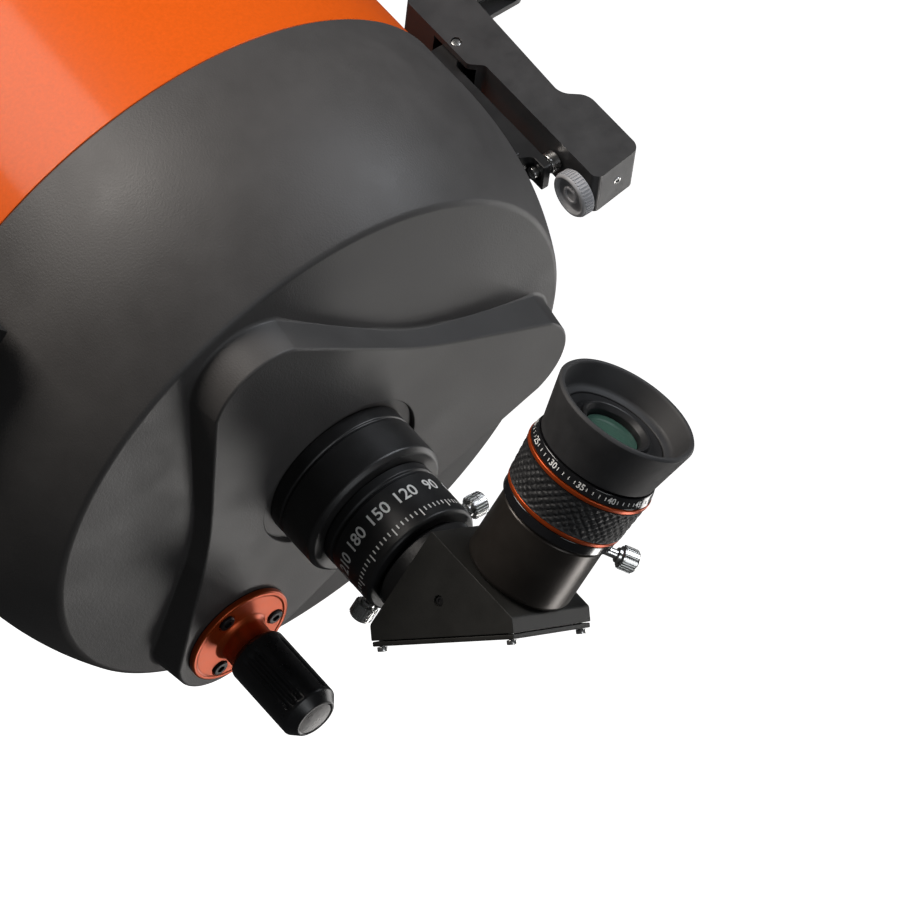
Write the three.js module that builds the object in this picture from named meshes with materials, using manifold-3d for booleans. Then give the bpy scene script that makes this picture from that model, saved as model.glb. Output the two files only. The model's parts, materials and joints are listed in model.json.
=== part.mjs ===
// An eight-inch Schmidt-Cassegrain optical tube with its star diagonal, eyepiece and red-dot finder.
// Millimetres. The optical axis runs along Y, +Y points at the sky and +Z is up, where the eyepiece
// points. Heights called "back" are measured rearwards from the rim of the rear cell's back face.
// The whole telescope is finally moved so that the origin is the middle of the dovetail's flat face.
import * as THREE from 'three';
import { mergeVertices } from 'three/addons/utils/BufferGeometryUtils.js';
import Module from 'manifold-3d';

const wasm = await Module();
wasm.setup();

// Driving dimensions
const GAP = 0.3;
const CELL_RADIUS = 117;
const RIM_RADIUS = 103;
const SWELL_LENGTH = 60;
const CELL_LENGTH = 76.5;
const BACK_SLOPE = 0.16;
const TUBE_RADIUS = 116;
const TUBE_WALL = 2;
const TUBE_END = 350;
const FRONT_END = 398;
const SPIGOT_RADIUS = TUBE_RADIUS - TUBE_WALL - 0.4;
const SPIGOT_LENGTH = 10;
const PLATEAU_BACK = 14.5;
const LOBE_RADIUS = 21.5;
const LOBE_DISTANCE = 75;
const NOTCH_DISTANCE = 53.3;
const NOTCH_ROUNDING = 25;
const CORRECTOR_Y = 371;
const CORRECTOR_RADIUS = 105;
const CORRECTOR_THICKNESS = 5;
const PORT_RADIUS = 27;
const PORT_BACK = 34;
const PORT_BORE = 22.3;
const PORT_RECESS = 31;
const BARREL_RADIUS = 15.85;
const BARREL_BORE = 16.15;
const VISUAL_BACK_RADIUS = 21.8;
const VISUAL_BACK_END = 58;
const BACK_SCREW_BACK = 50;
const FOCUS_DISTANCE = 71;
const FOCUS_FLANGE_RADIUS = 19.8;
const FOCUS_FLANGE_SCREWS = 14.4;
const KNOB_RADIUS = 10.5;
const KNOB_START = 25;
const KNOB_END = 57.5;
const MIRROR_BACK_Y = 43.4;
const EYEPIECE_BACK = 89.5;
const DIAGONAL_WIDTH = 41.4;
const DIAGONAL_WALL = 3.2;
const DIAGONAL_TOP = 22.3;
const MIRROR_PLATE_LENGTH = 57.6;
const MIRROR_PLATE_THICKNESS = 1.6;
const FINDER_ANGLE = THREE.MathUtils.degToRad(57);
const FINDER_WIDTH = 19;
const DOVETAIL_FACE = 137;
const DOVETAIL_BACK_FACE = 122;
const DOVETAIL_WIDTH = 44;
const DOVETAIL_START = 46;
const DOVETAIL_LENGTH = 342;
const DOVETAIL_SCREWS = [70, 370];

// Facets round a full turn
const LARGE = 48;
const MEDIUM = 24;
const SMALL = 10;

// Finishes
const finish = (color, roughness, metalness) =>
  new THREE.MeshStandardMaterial({ color, roughness, metalness });
const castGrey = finish(0x3c3b3d, 0.62, 0.1);
const tubeOrange = finish(0xd9621c, 0.35, 0.3);
const anodisedOrange = finish(0xc8501e, 0.35, 0.8);
const satinBlack = finish(0x1b1b1d, 0.45, 0.3);
const rubberBlack = finish(0x161616, 0.85, 0);
const bareSteel = finish(0xb9bbbe, 0.3, 1);
const brass = finish(0xb08d4a, 0.35, 1);
const silvered = finish(0xe6e9ec, 0.05, 1);
const clearGlass = new THREE.MeshStandardMaterial({
  color: 0xdfeee8, roughness: 0.05, metalness: 0, transparent: true, opacity: 0.35,
});

// A copy of a geometry with only its positions, shared corners merged and empty triangles dropped.
function welded(geometry) {
  const bare = geometry.clone();
  bare.deleteAttribute('normal');
  bare.deleteAttribute('uv');
  const merged = mergeVertices(bare, 1e-3);
  const corners = Array.from(merged.index.array);
  const kept = [];
  for (let i = 0; i < corners.length; i += 3) {
    const [a, b, c] = corners.slice(i, i + 3);
    if (a !== b && b !== c && c !== a) {
      kept.push(a, b, c);
    }
  }
  merged.setIndex(kept);
  return merged;
}

function toSolid(geometry) {
  const clean = welded(geometry);
  const vertProperties = new Float32Array(clean.attributes.position.array);
  const triVerts = Uint32Array.from(clean.index.array);
  return new wasm.Manifold(new wasm.Mesh({ numProp: 3, vertProperties, triVerts }));
}

function toGeometry(solid) {
  const mesh = solid.getMesh();
  const geometry = new THREE.BufferGeometry();
  geometry.setAttribute('position', new THREE.Float32BufferAttribute(mesh.vertProperties, 3));
  geometry.setIndex(Array.from(mesh.triVerts));
  return geometry;
}

function cut(base, tools) {
  return toGeometry(tools.reduce((solid, tool) => solid.subtract(toSolid(tool)), toSolid(base)));
}

function joined(pieces) {
  return toGeometry(pieces.map(toSolid).reduce((whole, piece) => whole.add(piece)));
}

// A turned piece about Y from the [radius, height] corners of its section, in either order.
function turned(section, facets = MEDIUM) {
  const corners = section.map(([radius, height]) => new THREE.Vector2(radius, height));
  if (THREE.ShapeUtils.area(corners) < 0) {
    corners.reverse();
  }
  corners.push(corners[0].clone());
  return new THREE.LatheGeometry(corners, facets);
}

function ring(inner, outer, start, end, facets = MEDIUM) {
  return turned([[inner, start], [outer, start], [outer, end], [inner, end]], facets);
}

// A solid rod about Y between two heights.
function rod(radius, start, end, facets = SMALL) {
  return new THREE.CylinderGeometry(radius, radius, end - start, facets)
    .translate(0, (start + end) / 2, 0);
}

function block(low, high) {
  const size = high.map((value, axis) => value - low[axis]);
  const middle = high.map((value, axis) => (value + low[axis]) / 2);
  return new THREE.BoxGeometry(...size).translate(...middle);
}

// A plate of the given width across X, from the [Y, Z] corners of its side view.
function sidePlate(corners, width) {
  const outline = new THREE.Shape(corners.map(([y, z]) => new THREE.Vector2(y, z)));
  const axes = new THREE.Matrix4().makeBasis(
    new THREE.Vector3(0, 1, 0), new THREE.Vector3(0, 0, 1), new THREE.Vector3(1, 0, 0));
  return new THREE.ExtrudeGeometry(outline, { depth: width, bevelEnabled: false })
    .translate(0, 0, -width / 2)
    .applyMatrix4(axes);
}

// Moves a geometry built about the origin along +Y so that it points along a direction.
function aimed(geometry, position, direction) {
  const turn = new THREE.Quaternion().setFromUnitVectors(
    new THREE.Vector3(0, 1, 0), new THREE.Vector3(...direction).normalize());
  return geometry.clone().applyQuaternion(turn).translate(...position);
}

// A headed screw: the underside of its head is at height 0 and the shank points down.
function screw(headRadius, headHeight, shankRadius, shankLength, facets = SMALL) {
  return turned([
    [0, -shankLength], [shankRadius, -shankLength], [shankRadius, 0],
    [headRadius, 0], [headRadius, headHeight], [0, headHeight],
  ], facets);
}

function add(group, name, geometry, material) {
  const mesh = new THREE.Mesh(welded(geometry), material);
  mesh.name = name;
  group.add(mesh);
  return mesh;
}

const telescope = new THREE.Group();
const optics = new THREE.Group();
optics.position.set(DOVETAIL_FACE, -(DOVETAIL_START + DOVETAIL_LENGTH / 2), 0);
telescope.add(optics);

// Rear cell: a swelling cast shell whose shallow conical back carries a three-lobed plateau.

function cellRadius(y) {
  return CELL_RADIUS - (CELL_RADIUS - RIM_RADIUS) * (1 - y / SWELL_LENGTH) ** 2;
}

// The plateau's outline: an arc round each lobe and a shallow rounded V between neighbours.
function plateauOutline() {
  const outline = new THREE.Shape();
  const half = Math.PI / 3;
  const apexToLobe = new THREE.Vector2(
    LOBE_DISTANCE * Math.sin(half), LOBE_DISTANCE * Math.cos(half) - NOTCH_DISTANCE);
  const rise = Math.asin(LOBE_RADIUS / apexToLobe.length()) + apexToLobe.angle() - 2 * Math.PI;
  const spread = half - rise;
  for (let lobe = 0; lobe < 3; lobe += 1) {
    const heading = Math.PI / 6 + lobe * 2 * half;
    const centre = new THREE.Vector2(LOBE_DISTANCE, 0).rotateAround(new THREE.Vector2(), heading);
    outline.absarc(centre.x, centre.y, LOBE_RADIUS, heading - spread, heading + spread);
    const notch = heading + half;
    const apex = new THREE.Vector2(NOTCH_DISTANCE, 0).rotateAround(new THREE.Vector2(), notch);
    const run = new THREE.Vector2(NOTCH_ROUNDING * Math.sin(rise), NOTCH_ROUNDING * Math.cos(rise));
    const before = new THREE.Vector2(run.x, -run.y).rotateAround(new THREE.Vector2(), notch).add(apex);
    const after = new THREE.Vector2(run.x, run.y).rotateAround(new THREE.Vector2(), notch).add(apex);
    outline.lineTo(before.x, before.y);
    outline.quadraticCurveTo(apex.x, apex.y, after.x, after.y);
  }
  return outline;
}

// The plateau leans in as it rises, with a chamfer at its edge.
function plateau() {
  const levels = [[0, 1.02], [PLATEAU_BACK - 1.5, 1], [PLATEAU_BACK, 0.985]];
  const body = new THREE.ExtrudeGeometry(plateauOutline(), {
    depth: levels.length - 1, steps: levels.length - 1, curveSegments: 9, bevelEnabled: false,
  });
  const position = body.attributes.position;
  for (let i = 0; i < position.count; i += 1) {
    const [height, scale] = levels[Math.round(position.getZ(i))];
    position.setXYZ(i, position.getX(i) * scale, position.getY(i) * scale, height);
  }
  return body.rotateX(Math.PI / 2);
}

function onFocusAxis(geometry) {
  return geometry.translate(0, 0, -FOCUS_DISTANCE);
}

const flangeScrewPlaces = [0, 1, 2].map((i) => {
  const angle = Math.PI / 6 + i * 2 * Math.PI / 3;
  return [
    FOCUS_FLANGE_SCREWS * Math.cos(angle),
    FOCUS_FLANGE_SCREWS * Math.sin(angle) - FOCUS_DISTANCE,
  ];
});

function flangeScrewHoles(radius) {
  return flangeScrewPlaces.map(([x, z]) => rod(radius, -20, -8).translate(x, 0, z));
}

function rearCell() {
  const wall = [0, 3, 9, 18, 30, 45, SWELL_LENGTH].map((y) => [cellRadius(y), y]);
  const coneTop = [PORT_BORE, -BACK_SLOPE * (RIM_RADIUS - PORT_BORE)];
  const outside = turned([
    [0, coneTop[1]], coneTop, [RIM_RADIUS - 1.5, -0.2], ...wall, [CELL_RADIUS, CELL_LENGTH],
    [SPIGOT_RADIUS, CELL_LENGTH], [SPIGOT_RADIUS, CELL_LENGTH + SPIGOT_LENGTH],
    [0, CELL_LENGTH + SPIGOT_LENGTH],
  ], LARGE);
  const inside = turned([
    [0, -4], [48, -4], [90, 4], [98, 9], [105, 30], [108.6, SWELL_LENGTH], [108.6, 95], [0, 95],
  ], LARGE);
  return cut(joined([outside, plateau()]), [
    inside,
    rod(PORT_RECESS, -20, 2 - PLATEAU_BACK, 36),
    rod(PORT_BORE, -20, 0, MEDIUM),
    onFocusAxis(rod(9.3, -20, 10, 20)),
    ...flangeScrewHoles(1.8),
    aimed(rod(3.5, 0, 20), [-120, DOVETAIL_SCREWS[0], 0], [1, 0, 0]),
  ]);
}

add(optics, 'rear_cell', rearCell(), castGrey);

// Tube and front cell
add(optics, 'optical_tube',
  ring(TUBE_RADIUS - TUBE_WALL, TUBE_RADIUS, CELL_LENGTH + GAP, TUBE_END - GAP, LARGE), tubeOrange);

const frontCell = turned([
  [108, TUBE_END - SPIGOT_LENGTH], [SPIGOT_RADIUS, TUBE_END - SPIGOT_LENGTH],
  [SPIGOT_RADIUS, TUBE_END], [CELL_RADIUS, TUBE_END], [CELL_RADIUS, FRONT_END - 3],
  [CELL_RADIUS - 2, FRONT_END], [111, FRONT_END], [108, CORRECTOR_Y + 6],
  [105.6, CORRECTOR_Y + 6], [105.6, CORRECTOR_Y - GAP], [101.6, CORRECTOR_Y - GAP], [101.6, 366],
], LARGE);
add(optics, 'front_cell',
  cut(frontCell, [aimed(rod(3.5, 0, 9), [-118, DOVETAIL_SCREWS[1], 0], [1, 0, 0])]), castGrey);

// Corrector plate, its ring, and the secondary mirror that it carries
const CORRECTOR_FRONT = CORRECTOR_Y + CORRECTOR_THICKNESS;
add(optics, 'corrector_plate',
  ring(28.3, CORRECTOR_RADIUS, CORRECTOR_Y, CORRECTOR_FRONT, LARGE), clearGlass);
add(optics, 'corrector_retaining_ring', turned([
  [101.6, CORRECTOR_FRONT + GAP], [105.2, CORRECTOR_FRONT + GAP], [105.2, CORRECTOR_FRONT + 1.4],
  [107.6, CORRECTOR_FRONT + 1.4], [107.6, CORRECTOR_FRONT + 3.4], [101.6, CORRECTOR_FRONT + 3.4],
], LARGE), satinBlack);

const collimationPlaces = [0, 1, 2].map((i) => {
  const angle = Math.PI / 2 + i * 2 * Math.PI / 3;
  return [14 * Math.cos(angle), 14 * Math.sin(angle)];
});
const holder = turned([
  [0, 362], [27.9, 362], [27.9, CORRECTOR_FRONT + GAP], [34, CORRECTOR_FRONT + GAP],
  [34, 383], [31, 386], [0, 386],
]);
add(optics, 'secondary_holder', cut(holder, [
  rod(24, 355, 380, MEDIUM),
  ...collimationPlaces.map(([x, z]) => rod(2, 379, 390).translate(x, 0, z)),
]), satinBlack);
add(optics, 'secondary_clamp_ring', ring(28.3, 34, 362, CORRECTOR_Y - GAP), satinBlack);
add(optics, 'secondary_mirror',
  turned([[0, 361.7], [27, 359.6], [27, 361.6], [23.4, 361.9], [23.4, 367.7], [0, 367.7]]), silvered);
add(optics, 'secondary_baffle', turned([
  [28.3, 361.7], [34, 361.7], [34, 358], [36.5, 335], [35.7, 335], [33, 357], [28.3, 358.6],
]), rubberBlack);
collimationPlaces.forEach(([x, z], i) => {
  const piece = screw(3.2, 2.4, 1.6, 14.5).translate(x, 386 + GAP, z);
  add(optics, `collimation_screw_${i + 1}`, piece, bareSteel);
});

// Baffle tube, and the primary mirror that slides along it
add(optics, 'baffle_tube', turned([
  [19, -3.7], [34, -3.7], [34, 0.5], [22, 0.5], [22, 96], [20.4, 98], [20.4, 200], [19, 200],
]), satinBlack);
add(optics, 'mirror_carrier', cut(turned([
  [22.5, 30], [26.5, 30], [26.5, 36], [85, 38], [85, 43], [26.5, 43], [26.5, 72], [22.5, 72],
], LARGE), [onFocusAxis(rod(8.3, 30, 50, 20))]), bareSteel);
add(optics, 'focus_nut', onFocusAxis(ring(4.4, 8, 14, 42.7, 20)), brass);
add(optics, 'primary_mirror', turned([
  [26.9, MIRROR_BACK_Y], [60, MIRROR_BACK_Y], [101.5, MIRROR_BACK_Y + 6], [101.5, 62],
  [70, 58.7], [26.9, 56.2],
], LARGE), silvered);
add(optics, 'mirror_lock_ring', ring(26.8, 33, 57.2, 61.5), satinBlack);

// Focuser: a screw in a bearing, held by the flange, pulls the nut on the mirror carrier
add(optics, 'focus_bearing', onFocusAxis(ring(4.4, 9, -12, 2, 20)), bareSteel);
add(optics, 'focus_flange', cut(onFocusAxis(turned([
  [4.4, -14.8], [FOCUS_FLANGE_RADIUS, -14.8], [FOCUS_FLANGE_RADIUS, -16.2],
  [FOCUS_FLANGE_RADIUS - 0.8, -17], [9.6, -17], [8.6, -18], [8.6, -24.5], [4.4, -24.5],
])), flangeScrewHoles(1.8)), anodisedOrange);
flangeScrewPlaces.forEach(([x, z], i) => {
  const piece = aimed(screw(2.7, 1.5, 1.5, 8), [x, -17 - GAP, z], [0, -1, 0]);
  add(optics, `focus_flange_screw_${i + 1}`, piece, satinBlack);
});
add(optics, 'focus_screw', onFocusAxis(turned([
  [0, 26], [4, 26], [4, -51], [0, -51],
], 12)), bareSteel);
add(optics, 'focus_knob', onFocusAxis(turned([
  [4.3, -KNOB_START], [KNOB_RADIUS - 0.5, -KNOB_START], [KNOB_RADIUS, -KNOB_START - 1],
  [KNOB_RADIUS, -KNOB_END + 4], [KNOB_RADIUS - 2.8, -KNOB_END], [0, -KNOB_END], [0, -51.4], [4.3, -51.4],
])), rubberBlack);

// Rear port and visual back
add(optics, 'rear_port_ring', turned([
  [20.4, -6], [22, -6], [22, -12.8], [PORT_RADIUS, -12.8], [PORT_RADIUS, -PORT_BACK + 1],
  [PORT_RADIUS - 1, -PORT_BACK], [20.4, -PORT_BACK],
]), satinBlack);

const backScrewHeadings = [-90, 30].map((degrees) => {
  const angle = THREE.MathUtils.degToRad(degrees);
  return [Math.cos(angle), 0, Math.sin(angle)];
});
function thumbscrew() {
  return turned([
    [0, -6.2], [1.7, -6.2], [1.7, -1], [2.6, -1], [2.6, 0.6], [4.2, 0.6], [4.2, 6.2], [3.6, 6.8], [0, 6.8],
  ], 16);
}
function screwSeat(heading, distance, y) {
  return heading.map((part, axis) => part * distance + (axis === 1 ? y : 0));
}
add(optics, 'visual_back_body', cut(turned([
  [BARREL_BORE, -20], [20, -20], [20, -PORT_BACK - GAP], [VISUAL_BACK_RADIUS, -PORT_BACK - GAP],
  [VISUAL_BACK_RADIUS, -VISUAL_BACK_END + 0.8], [VISUAL_BACK_RADIUS - 0.8, -VISUAL_BACK_END],
  [BARREL_BORE, -VISUAL_BACK_END],
]), backScrewHeadings.map((heading) => aimed(rod(2, 10, 30), [0, -BACK_SCREW_BACK, 0], heading))),
satinBlack);
backScrewHeadings.forEach((heading, i) => {
  const piece = aimed(thumbscrew(), screwSeat(heading, 25.6, -BACK_SCREW_BACK), heading);
  add(optics, `visual_back_thumbscrew_${i + 1}`, piece, bareSteel);
});

// Star diagonal
add(optics, 'diagonal_nosepiece', turned([
  [12.9, -38], [BARREL_RADIUS - 0.5, -38], [BARREL_RADIUS, -38.5], [BARREL_RADIUS, -59.5],
  [18.6, -59.5], [18.6, -65.5], [13.9, -65.5], [13.9, -68.5], [12.9, -68.5],
]), satinBlack);

const mirrorPlateFrame = new THREE.Group();
mirrorPlateFrame.position.set(0, -91.4, -3.1);
mirrorPlateFrame.rotation.x = Math.PI / 4;
optics.add(mirrorPlateFrame);
mirrorPlateFrame.updateMatrix();
const plateHalfWidth = DIAGONAL_WIDTH / 2 - 0.2;
const plateScrewPlaces = [[-18.4, -26.4], [18.4, -26.4], [-18.4, 26.4], [18.4, 26.4]];

function plateScrewHoles() {
  return plateScrewPlaces.map(([x, z]) => rod(1.2, -3, 7).translate(x, 0, z));
}

function eyepieceAxis(geometry) {
  return geometry.rotateX(Math.PI / 2).translate(0, -EYEPIECE_BACK, 0);
}

const diagonalScrewHeading = [Math.cos(0.7), -Math.sin(0.7), 0];
const sideScrewPlace = [-DIAGONAL_WIDTH / 2, -81.9, 6.6];

add(optics, 'diagonal_housing', cut(sidePlate([
  [-65.8, DIAGONAL_TOP], [-65.8, -18.5], [-69.55, -22.25], [-110.55, 18.75], [-107, DIAGONAL_TOP],
], DIAGONAL_WIDTH), [
  sidePlate([[-69.8, 18.3], [-69.8, -16.8], [-73.4, -20.8], [-108.6, 14.4], [-104.4, 18.3]],
    DIAGONAL_WIDTH - 2 * DIAGONAL_WALL),
  rod(14.2, -75, -60, MEDIUM),
  eyepieceAxis(rod(15.8, 10, 25, MEDIUM)),
  ...plateScrewHoles().map((hole) => hole.applyMatrix4(mirrorPlateFrame.matrix)),
  aimed(rod(1.9, -5, 1.4), sideScrewPlace, [1, 0, 0]),
]), satinBlack);
add(optics, 'diagonal_side_screw',
  aimed(turned([[0, 0.6], [1.6, 0.6], [1.6, 1.1], [0, 1.1]], SMALL), sideScrewPlace, [1, 0, 0]), satinBlack);
add(mirrorPlateFrame, 'diagonal_mirror_plate', cut(
  block([-plateHalfWidth, 0, -MIRROR_PLATE_LENGTH / 2],
    [plateHalfWidth, MIRROR_PLATE_THICKNESS, MIRROR_PLATE_LENGTH / 2]),
  plateScrewHoles()), satinBlack);
add(mirrorPlateFrame, 'diagonal_mirror', block([-13.6, 1.9, -20], [13.6, 3.5, 20]), silvered);
plateScrewPlaces.forEach(([x, z], i) => {
  const piece = aimed(screw(1.7, 1.5, 0.95, 6), [x, -GAP, z], [0, -1, 0]);
  add(mirrorPlateFrame, `diagonal_plate_screw_${i + 1}`, piece, bareSteel);
});
add(optics, 'diagonal_eyepiece_tube', cut(eyepieceAxis(turned([
  [13.6, 19], [15.5, 19], [15.5, DIAGONAL_TOP + GAP], [17.3, DIAGONAL_TOP + GAP],
  [18.9, DIAGONAL_TOP + 1.9], [18.9, 47.4], [18.3, 48], [BARREL_BORE, 48], [BARREL_BORE, 24], [13.6, 24],
])), [aimed(rod(2, 10, 30), [0, -EYEPIECE_BACK, 43.5], diagonalScrewHeading)]), satinBlack);
add(optics, 'diagonal_thumbscrew', aimed(thumbscrew(),
  [25.6 * diagonalScrewHeading[0], 25.6 * diagonalScrewHeading[1] - EYEPIECE_BACK, 43.5],
  diagonalScrewHeading), bareSteel);

// Eyepiece: heights along its axis
const eyepieceParts = [
  ['eyepiece_barrel', ring(13.6, BARREL_RADIUS, 26, 48.2), bareSteel],
  ['field_lens', ring(0, 13.2, 30, 34), clearGlass],
  ['eyepiece_body', turned([
    [13.4, 48.5], [19.8, 48.5], [20.5, 49.2], [20.5, 52.7], [16.8, 52.7], [16.8, 70.4],
    [22.2, 70.4], [21.5, 74.2], [16.8, 74.2], [16.8, 75.6], [13.4, 75.6],
  ]), satinBlack],
  ['eyepiece_ring_lower', ring(17.1, 20.9, 53, 54.6), anodisedOrange],
  ['eyepiece_grip', turned([[17.1, 54.9], [21.2, 54.9], [22.3, 68.2], [17.1, 68.2]]), rubberBlack],
  ['eyepiece_ring_upper', ring(17.1, 22.6, 68.5, 70.1), anodisedOrange],
  ['eyepiece_top', turned([
    [9.9, 75.9], [17.9, 75.9], [17.9, 84.8], [12.5, 85.6], [11.8, 86.6], [10.8, 86.6], [9.9, 85.4],
  ]), satinBlack],
  ['eye_lens', turned([[0, 80.5], [9.6, 80.5], [9.6, 83], [0, 84.3]]), clearGlass],
  ['eyecup', turned([
    [18.2, 74.6], [21, 74.6], [24.6, 91.5], [24.6, 92.8], [23.9, 93.7], [23.1, 93.7],
    [20.4, 85.2], [18.2, 84.9],
  ]), rubberBlack],
];
eyepieceParts.forEach(([name, geometry, material]) => {
  add(optics, name, eyepieceAxis(geometry), material);
});

// Dovetail bar under the tube, on a saddle block at each cell
const flankInset = (DOVETAIL_FACE - DOVETAIL_BACK_FACE) * Math.tan(THREE.MathUtils.degToRad(15));
const dovetailSection = new THREE.Shape([
  new THREE.Vector2(-DOVETAIL_FACE, -DOVETAIL_WIDTH / 2),
  new THREE.Vector2(-DOVETAIL_BACK_FACE, -DOVETAIL_WIDTH / 2 + flankInset),
  new THREE.Vector2(-DOVETAIL_BACK_FACE, DOVETAIL_WIDTH / 2 - flankInset),
  new THREE.Vector2(-DOVETAIL_FACE, DOVETAIL_WIDTH / 2),
]);
const dovetailBar = new THREE.ExtrudeGeometry(
  dovetailSection, { depth: DOVETAIL_LENGTH, bevelEnabled: false })
  .rotateX(Math.PI / 2)
  .translate(0, DOVETAIL_START + DOVETAIL_LENGTH, 0);
function dovetailScrewTool(radius, start, end, y) {
  return aimed(rod(radius, start, end, 16), [-DOVETAIL_FACE, y, 0], [1, 0, 0]);
}
add(optics, 'dovetail_bar', cut(dovetailBar, DOVETAIL_SCREWS.flatMap((y) => [
  dovetailScrewTool(6.5, -1, 7.3, y), dovetailScrewTool(3.5, -1, 20, y),
])), satinBlack);
['rear', 'front'].forEach((end, i) => {
  const y = DOVETAIL_SCREWS[i];
  const saddle = cut(block([-DOVETAIL_BACK_FACE + GAP, y - 9, -15], [-112, y + 9, 15]), [
    rod(CELL_RADIUS + GAP, y - 20, y + 20, LARGE), dovetailScrewTool(3.5, 10, 30, y),
  ]);
  add(optics, `dovetail_saddle_${end}`, saddle, satinBlack);
  const piece = aimed(screw(6, 5.5, 3, 15.5, 16), [-DOVETAIL_FACE + 7, y, 0], [-1, 0, 0]);
  add(optics, `dovetail_screw_${end}`, piece, bareSteel);
});

// Red-dot finder: Z is the distance from the optical axis in this turned frame
const finder = new THREE.Group();
finder.rotation.y = FINDER_ANGLE;
optics.add(finder);
const STUD_Y = 46;
const DIAL_Y = 31;
const radially = (geometry, y) => geometry.rotateX(Math.PI / 2).translate(0, y, 0);
add(finder, 'finder_foot', cut(block([-13, 47.5, 114], [13, 82, 124.7]),
  [rod(CELL_RADIUS + GAP, 20, 100, 120)]), satinBlack);
add(finder, 'finder_bracket', cut(sidePlate([
  [48, 131], [51, 125], [100, 125], [104, 129], [104, 143], [98, 143], [94, 134.5], [41.5, 134.5],
  [41.5, 131],
], 12), [
  radially(rod(3.6, 120, 138, 16), STUD_Y),
  aimed(rod(1.9, -10, 10, 12), [0, 100, 139], [1, 0, 0]),
]), satinBlack);
add(finder, 'finder_stud', radially(turned([
  [0, 129.5], [2.2, 129.5], [2.2, 136.2], [3.6, 136.2], [3.6, 140.3], [0, 140.3],
], 16), STUD_Y), bareSteel);
add(finder, 'finder_pivot_pin', aimed(rod(1.6, -9, 9, 12), [0, 100, 139], [1, 0, 0]), bareSteel);
add(finder, 'finder_dial', radially(turned([
  [0, 133.4], [7.6, 133.4], [8.4, 134.1], [8.4, 138.6], [3, 138.6], [3, 140.3], [0, 140.3],
], 24), DIAL_Y), satinBlack);
add(finder, 'finder_body', cut(sidePlate([
  [25.8, 142.6], [27.8, 140.6], [86, 140.6], [90, 136], [124, 136], [127, 142.5], [127, 179],
  [125, 181], [114, 181], [112, 179], [112, 156], [62, 154], [56, 161.5], [30, 161.5], [27.9, 159.5],
], FINDER_WIDTH), [
  block([-6.7, 88, 120], [6.7, 108, 147]),
  aimed(rod(1.9, -15, 15, 12), [0, 100, 139], [1, 0, 0]),
  block([-7, 105, 158], [7, 140, 177]),
]), satinBlack);
add(finder, 'finder_window', block([-6.7, 118, 158.3], [6.7, 120, 176.7]), clearGlass);

export default telescope;
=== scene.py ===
"""Studio model of an eight-inch Schmidt-Cassegrain telescope with its diagonal, eyepiece and finder.

Every sub-assembly is a class whose fields are its sizes in millimetres. It is built on a bench of its
own, whose Z axis is the axis that its parts are turned about, and is then set in the telescope's frame.
"""
from __future__ import annotations

import json
import logging
import math
from dataclasses import dataclass
from enum import Enum
from typing import Sequence

import bmesh
import bpy
from mathutils import Matrix, Vector


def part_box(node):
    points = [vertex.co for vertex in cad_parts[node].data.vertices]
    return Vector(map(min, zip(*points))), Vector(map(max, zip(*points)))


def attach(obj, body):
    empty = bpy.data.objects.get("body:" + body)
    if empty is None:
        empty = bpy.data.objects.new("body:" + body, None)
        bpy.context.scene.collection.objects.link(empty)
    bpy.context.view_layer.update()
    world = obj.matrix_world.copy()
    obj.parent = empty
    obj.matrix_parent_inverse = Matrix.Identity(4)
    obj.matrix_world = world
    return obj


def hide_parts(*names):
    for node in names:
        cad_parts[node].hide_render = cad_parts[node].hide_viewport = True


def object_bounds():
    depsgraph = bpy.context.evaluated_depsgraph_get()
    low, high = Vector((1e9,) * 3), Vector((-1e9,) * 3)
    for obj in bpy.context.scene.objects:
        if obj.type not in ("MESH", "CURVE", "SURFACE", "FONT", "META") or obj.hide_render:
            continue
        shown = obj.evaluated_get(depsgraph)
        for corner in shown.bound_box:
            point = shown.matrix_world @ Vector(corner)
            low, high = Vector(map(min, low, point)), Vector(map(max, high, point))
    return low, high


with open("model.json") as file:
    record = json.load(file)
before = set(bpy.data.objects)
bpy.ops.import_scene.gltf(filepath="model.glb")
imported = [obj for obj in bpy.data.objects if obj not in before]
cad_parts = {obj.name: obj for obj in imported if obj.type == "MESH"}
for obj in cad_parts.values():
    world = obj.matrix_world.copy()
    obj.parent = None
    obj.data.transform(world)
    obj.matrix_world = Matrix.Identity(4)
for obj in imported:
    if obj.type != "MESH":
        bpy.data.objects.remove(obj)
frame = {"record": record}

CAD_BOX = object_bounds()
MM = 0.001
PORT_BACK = 34.0
EYEPIECE_BACK = 89.5
FINDER_ANGLE = math.radians(57)
COAT_ROUGHNESS = 0.12

log = logging.getLogger("telescope")

Corner = tuple[float, ...]
Colour = tuple[float, float, float]
RECORD = frame["record"]
BODY_OF = {node: body for body, nodes in RECORD["behaviour"]["bodies"].items() for node in nodes}


# Benches

@dataclass(frozen=True)
class Bench:
    """Where a sub-assembly stands in the telescope's frame.

    Args:
        origin: The bench's zero, in metres.
        axis: The direction of the bench's Z axis.
        side: The direction of the bench's X axis.
    """

    origin: Vector
    axis: Vector
    side: Vector

    def matrix(self) -> Matrix:
        """Returns the turn, shift and scale from the bench's millimetres to the frame's metres."""
        up = self.axis.cross(self.side)
        turn = Matrix((self.side, up, self.axis)).transposed().to_4x4()
        return Matrix.Translation(self.origin) @ turn @ Matrix.Scale(MM, 4)

    def shifted(self, offset: Sequence[float], axis: Vector, side: Vector) -> "Bench":
        """Returns a bench at a point of this one, in millimetres, with axes given in the frame."""
        return Bench(self.matrix() @ Vector(offset), axis, side)


def optical_bench() -> Bench:
    """Returns the bench on the optical axis: Z runs rearwards from the rim of the rear cell's back."""
    low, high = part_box("rear_port_ring")
    origin = Vector(((low.x + high.x) / 2, low.y + PORT_BACK * MM, (low.z + high.z) / 2))
    return Bench(origin, Vector((0, -1, 0)), Vector((1, 0, 0)))


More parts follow.
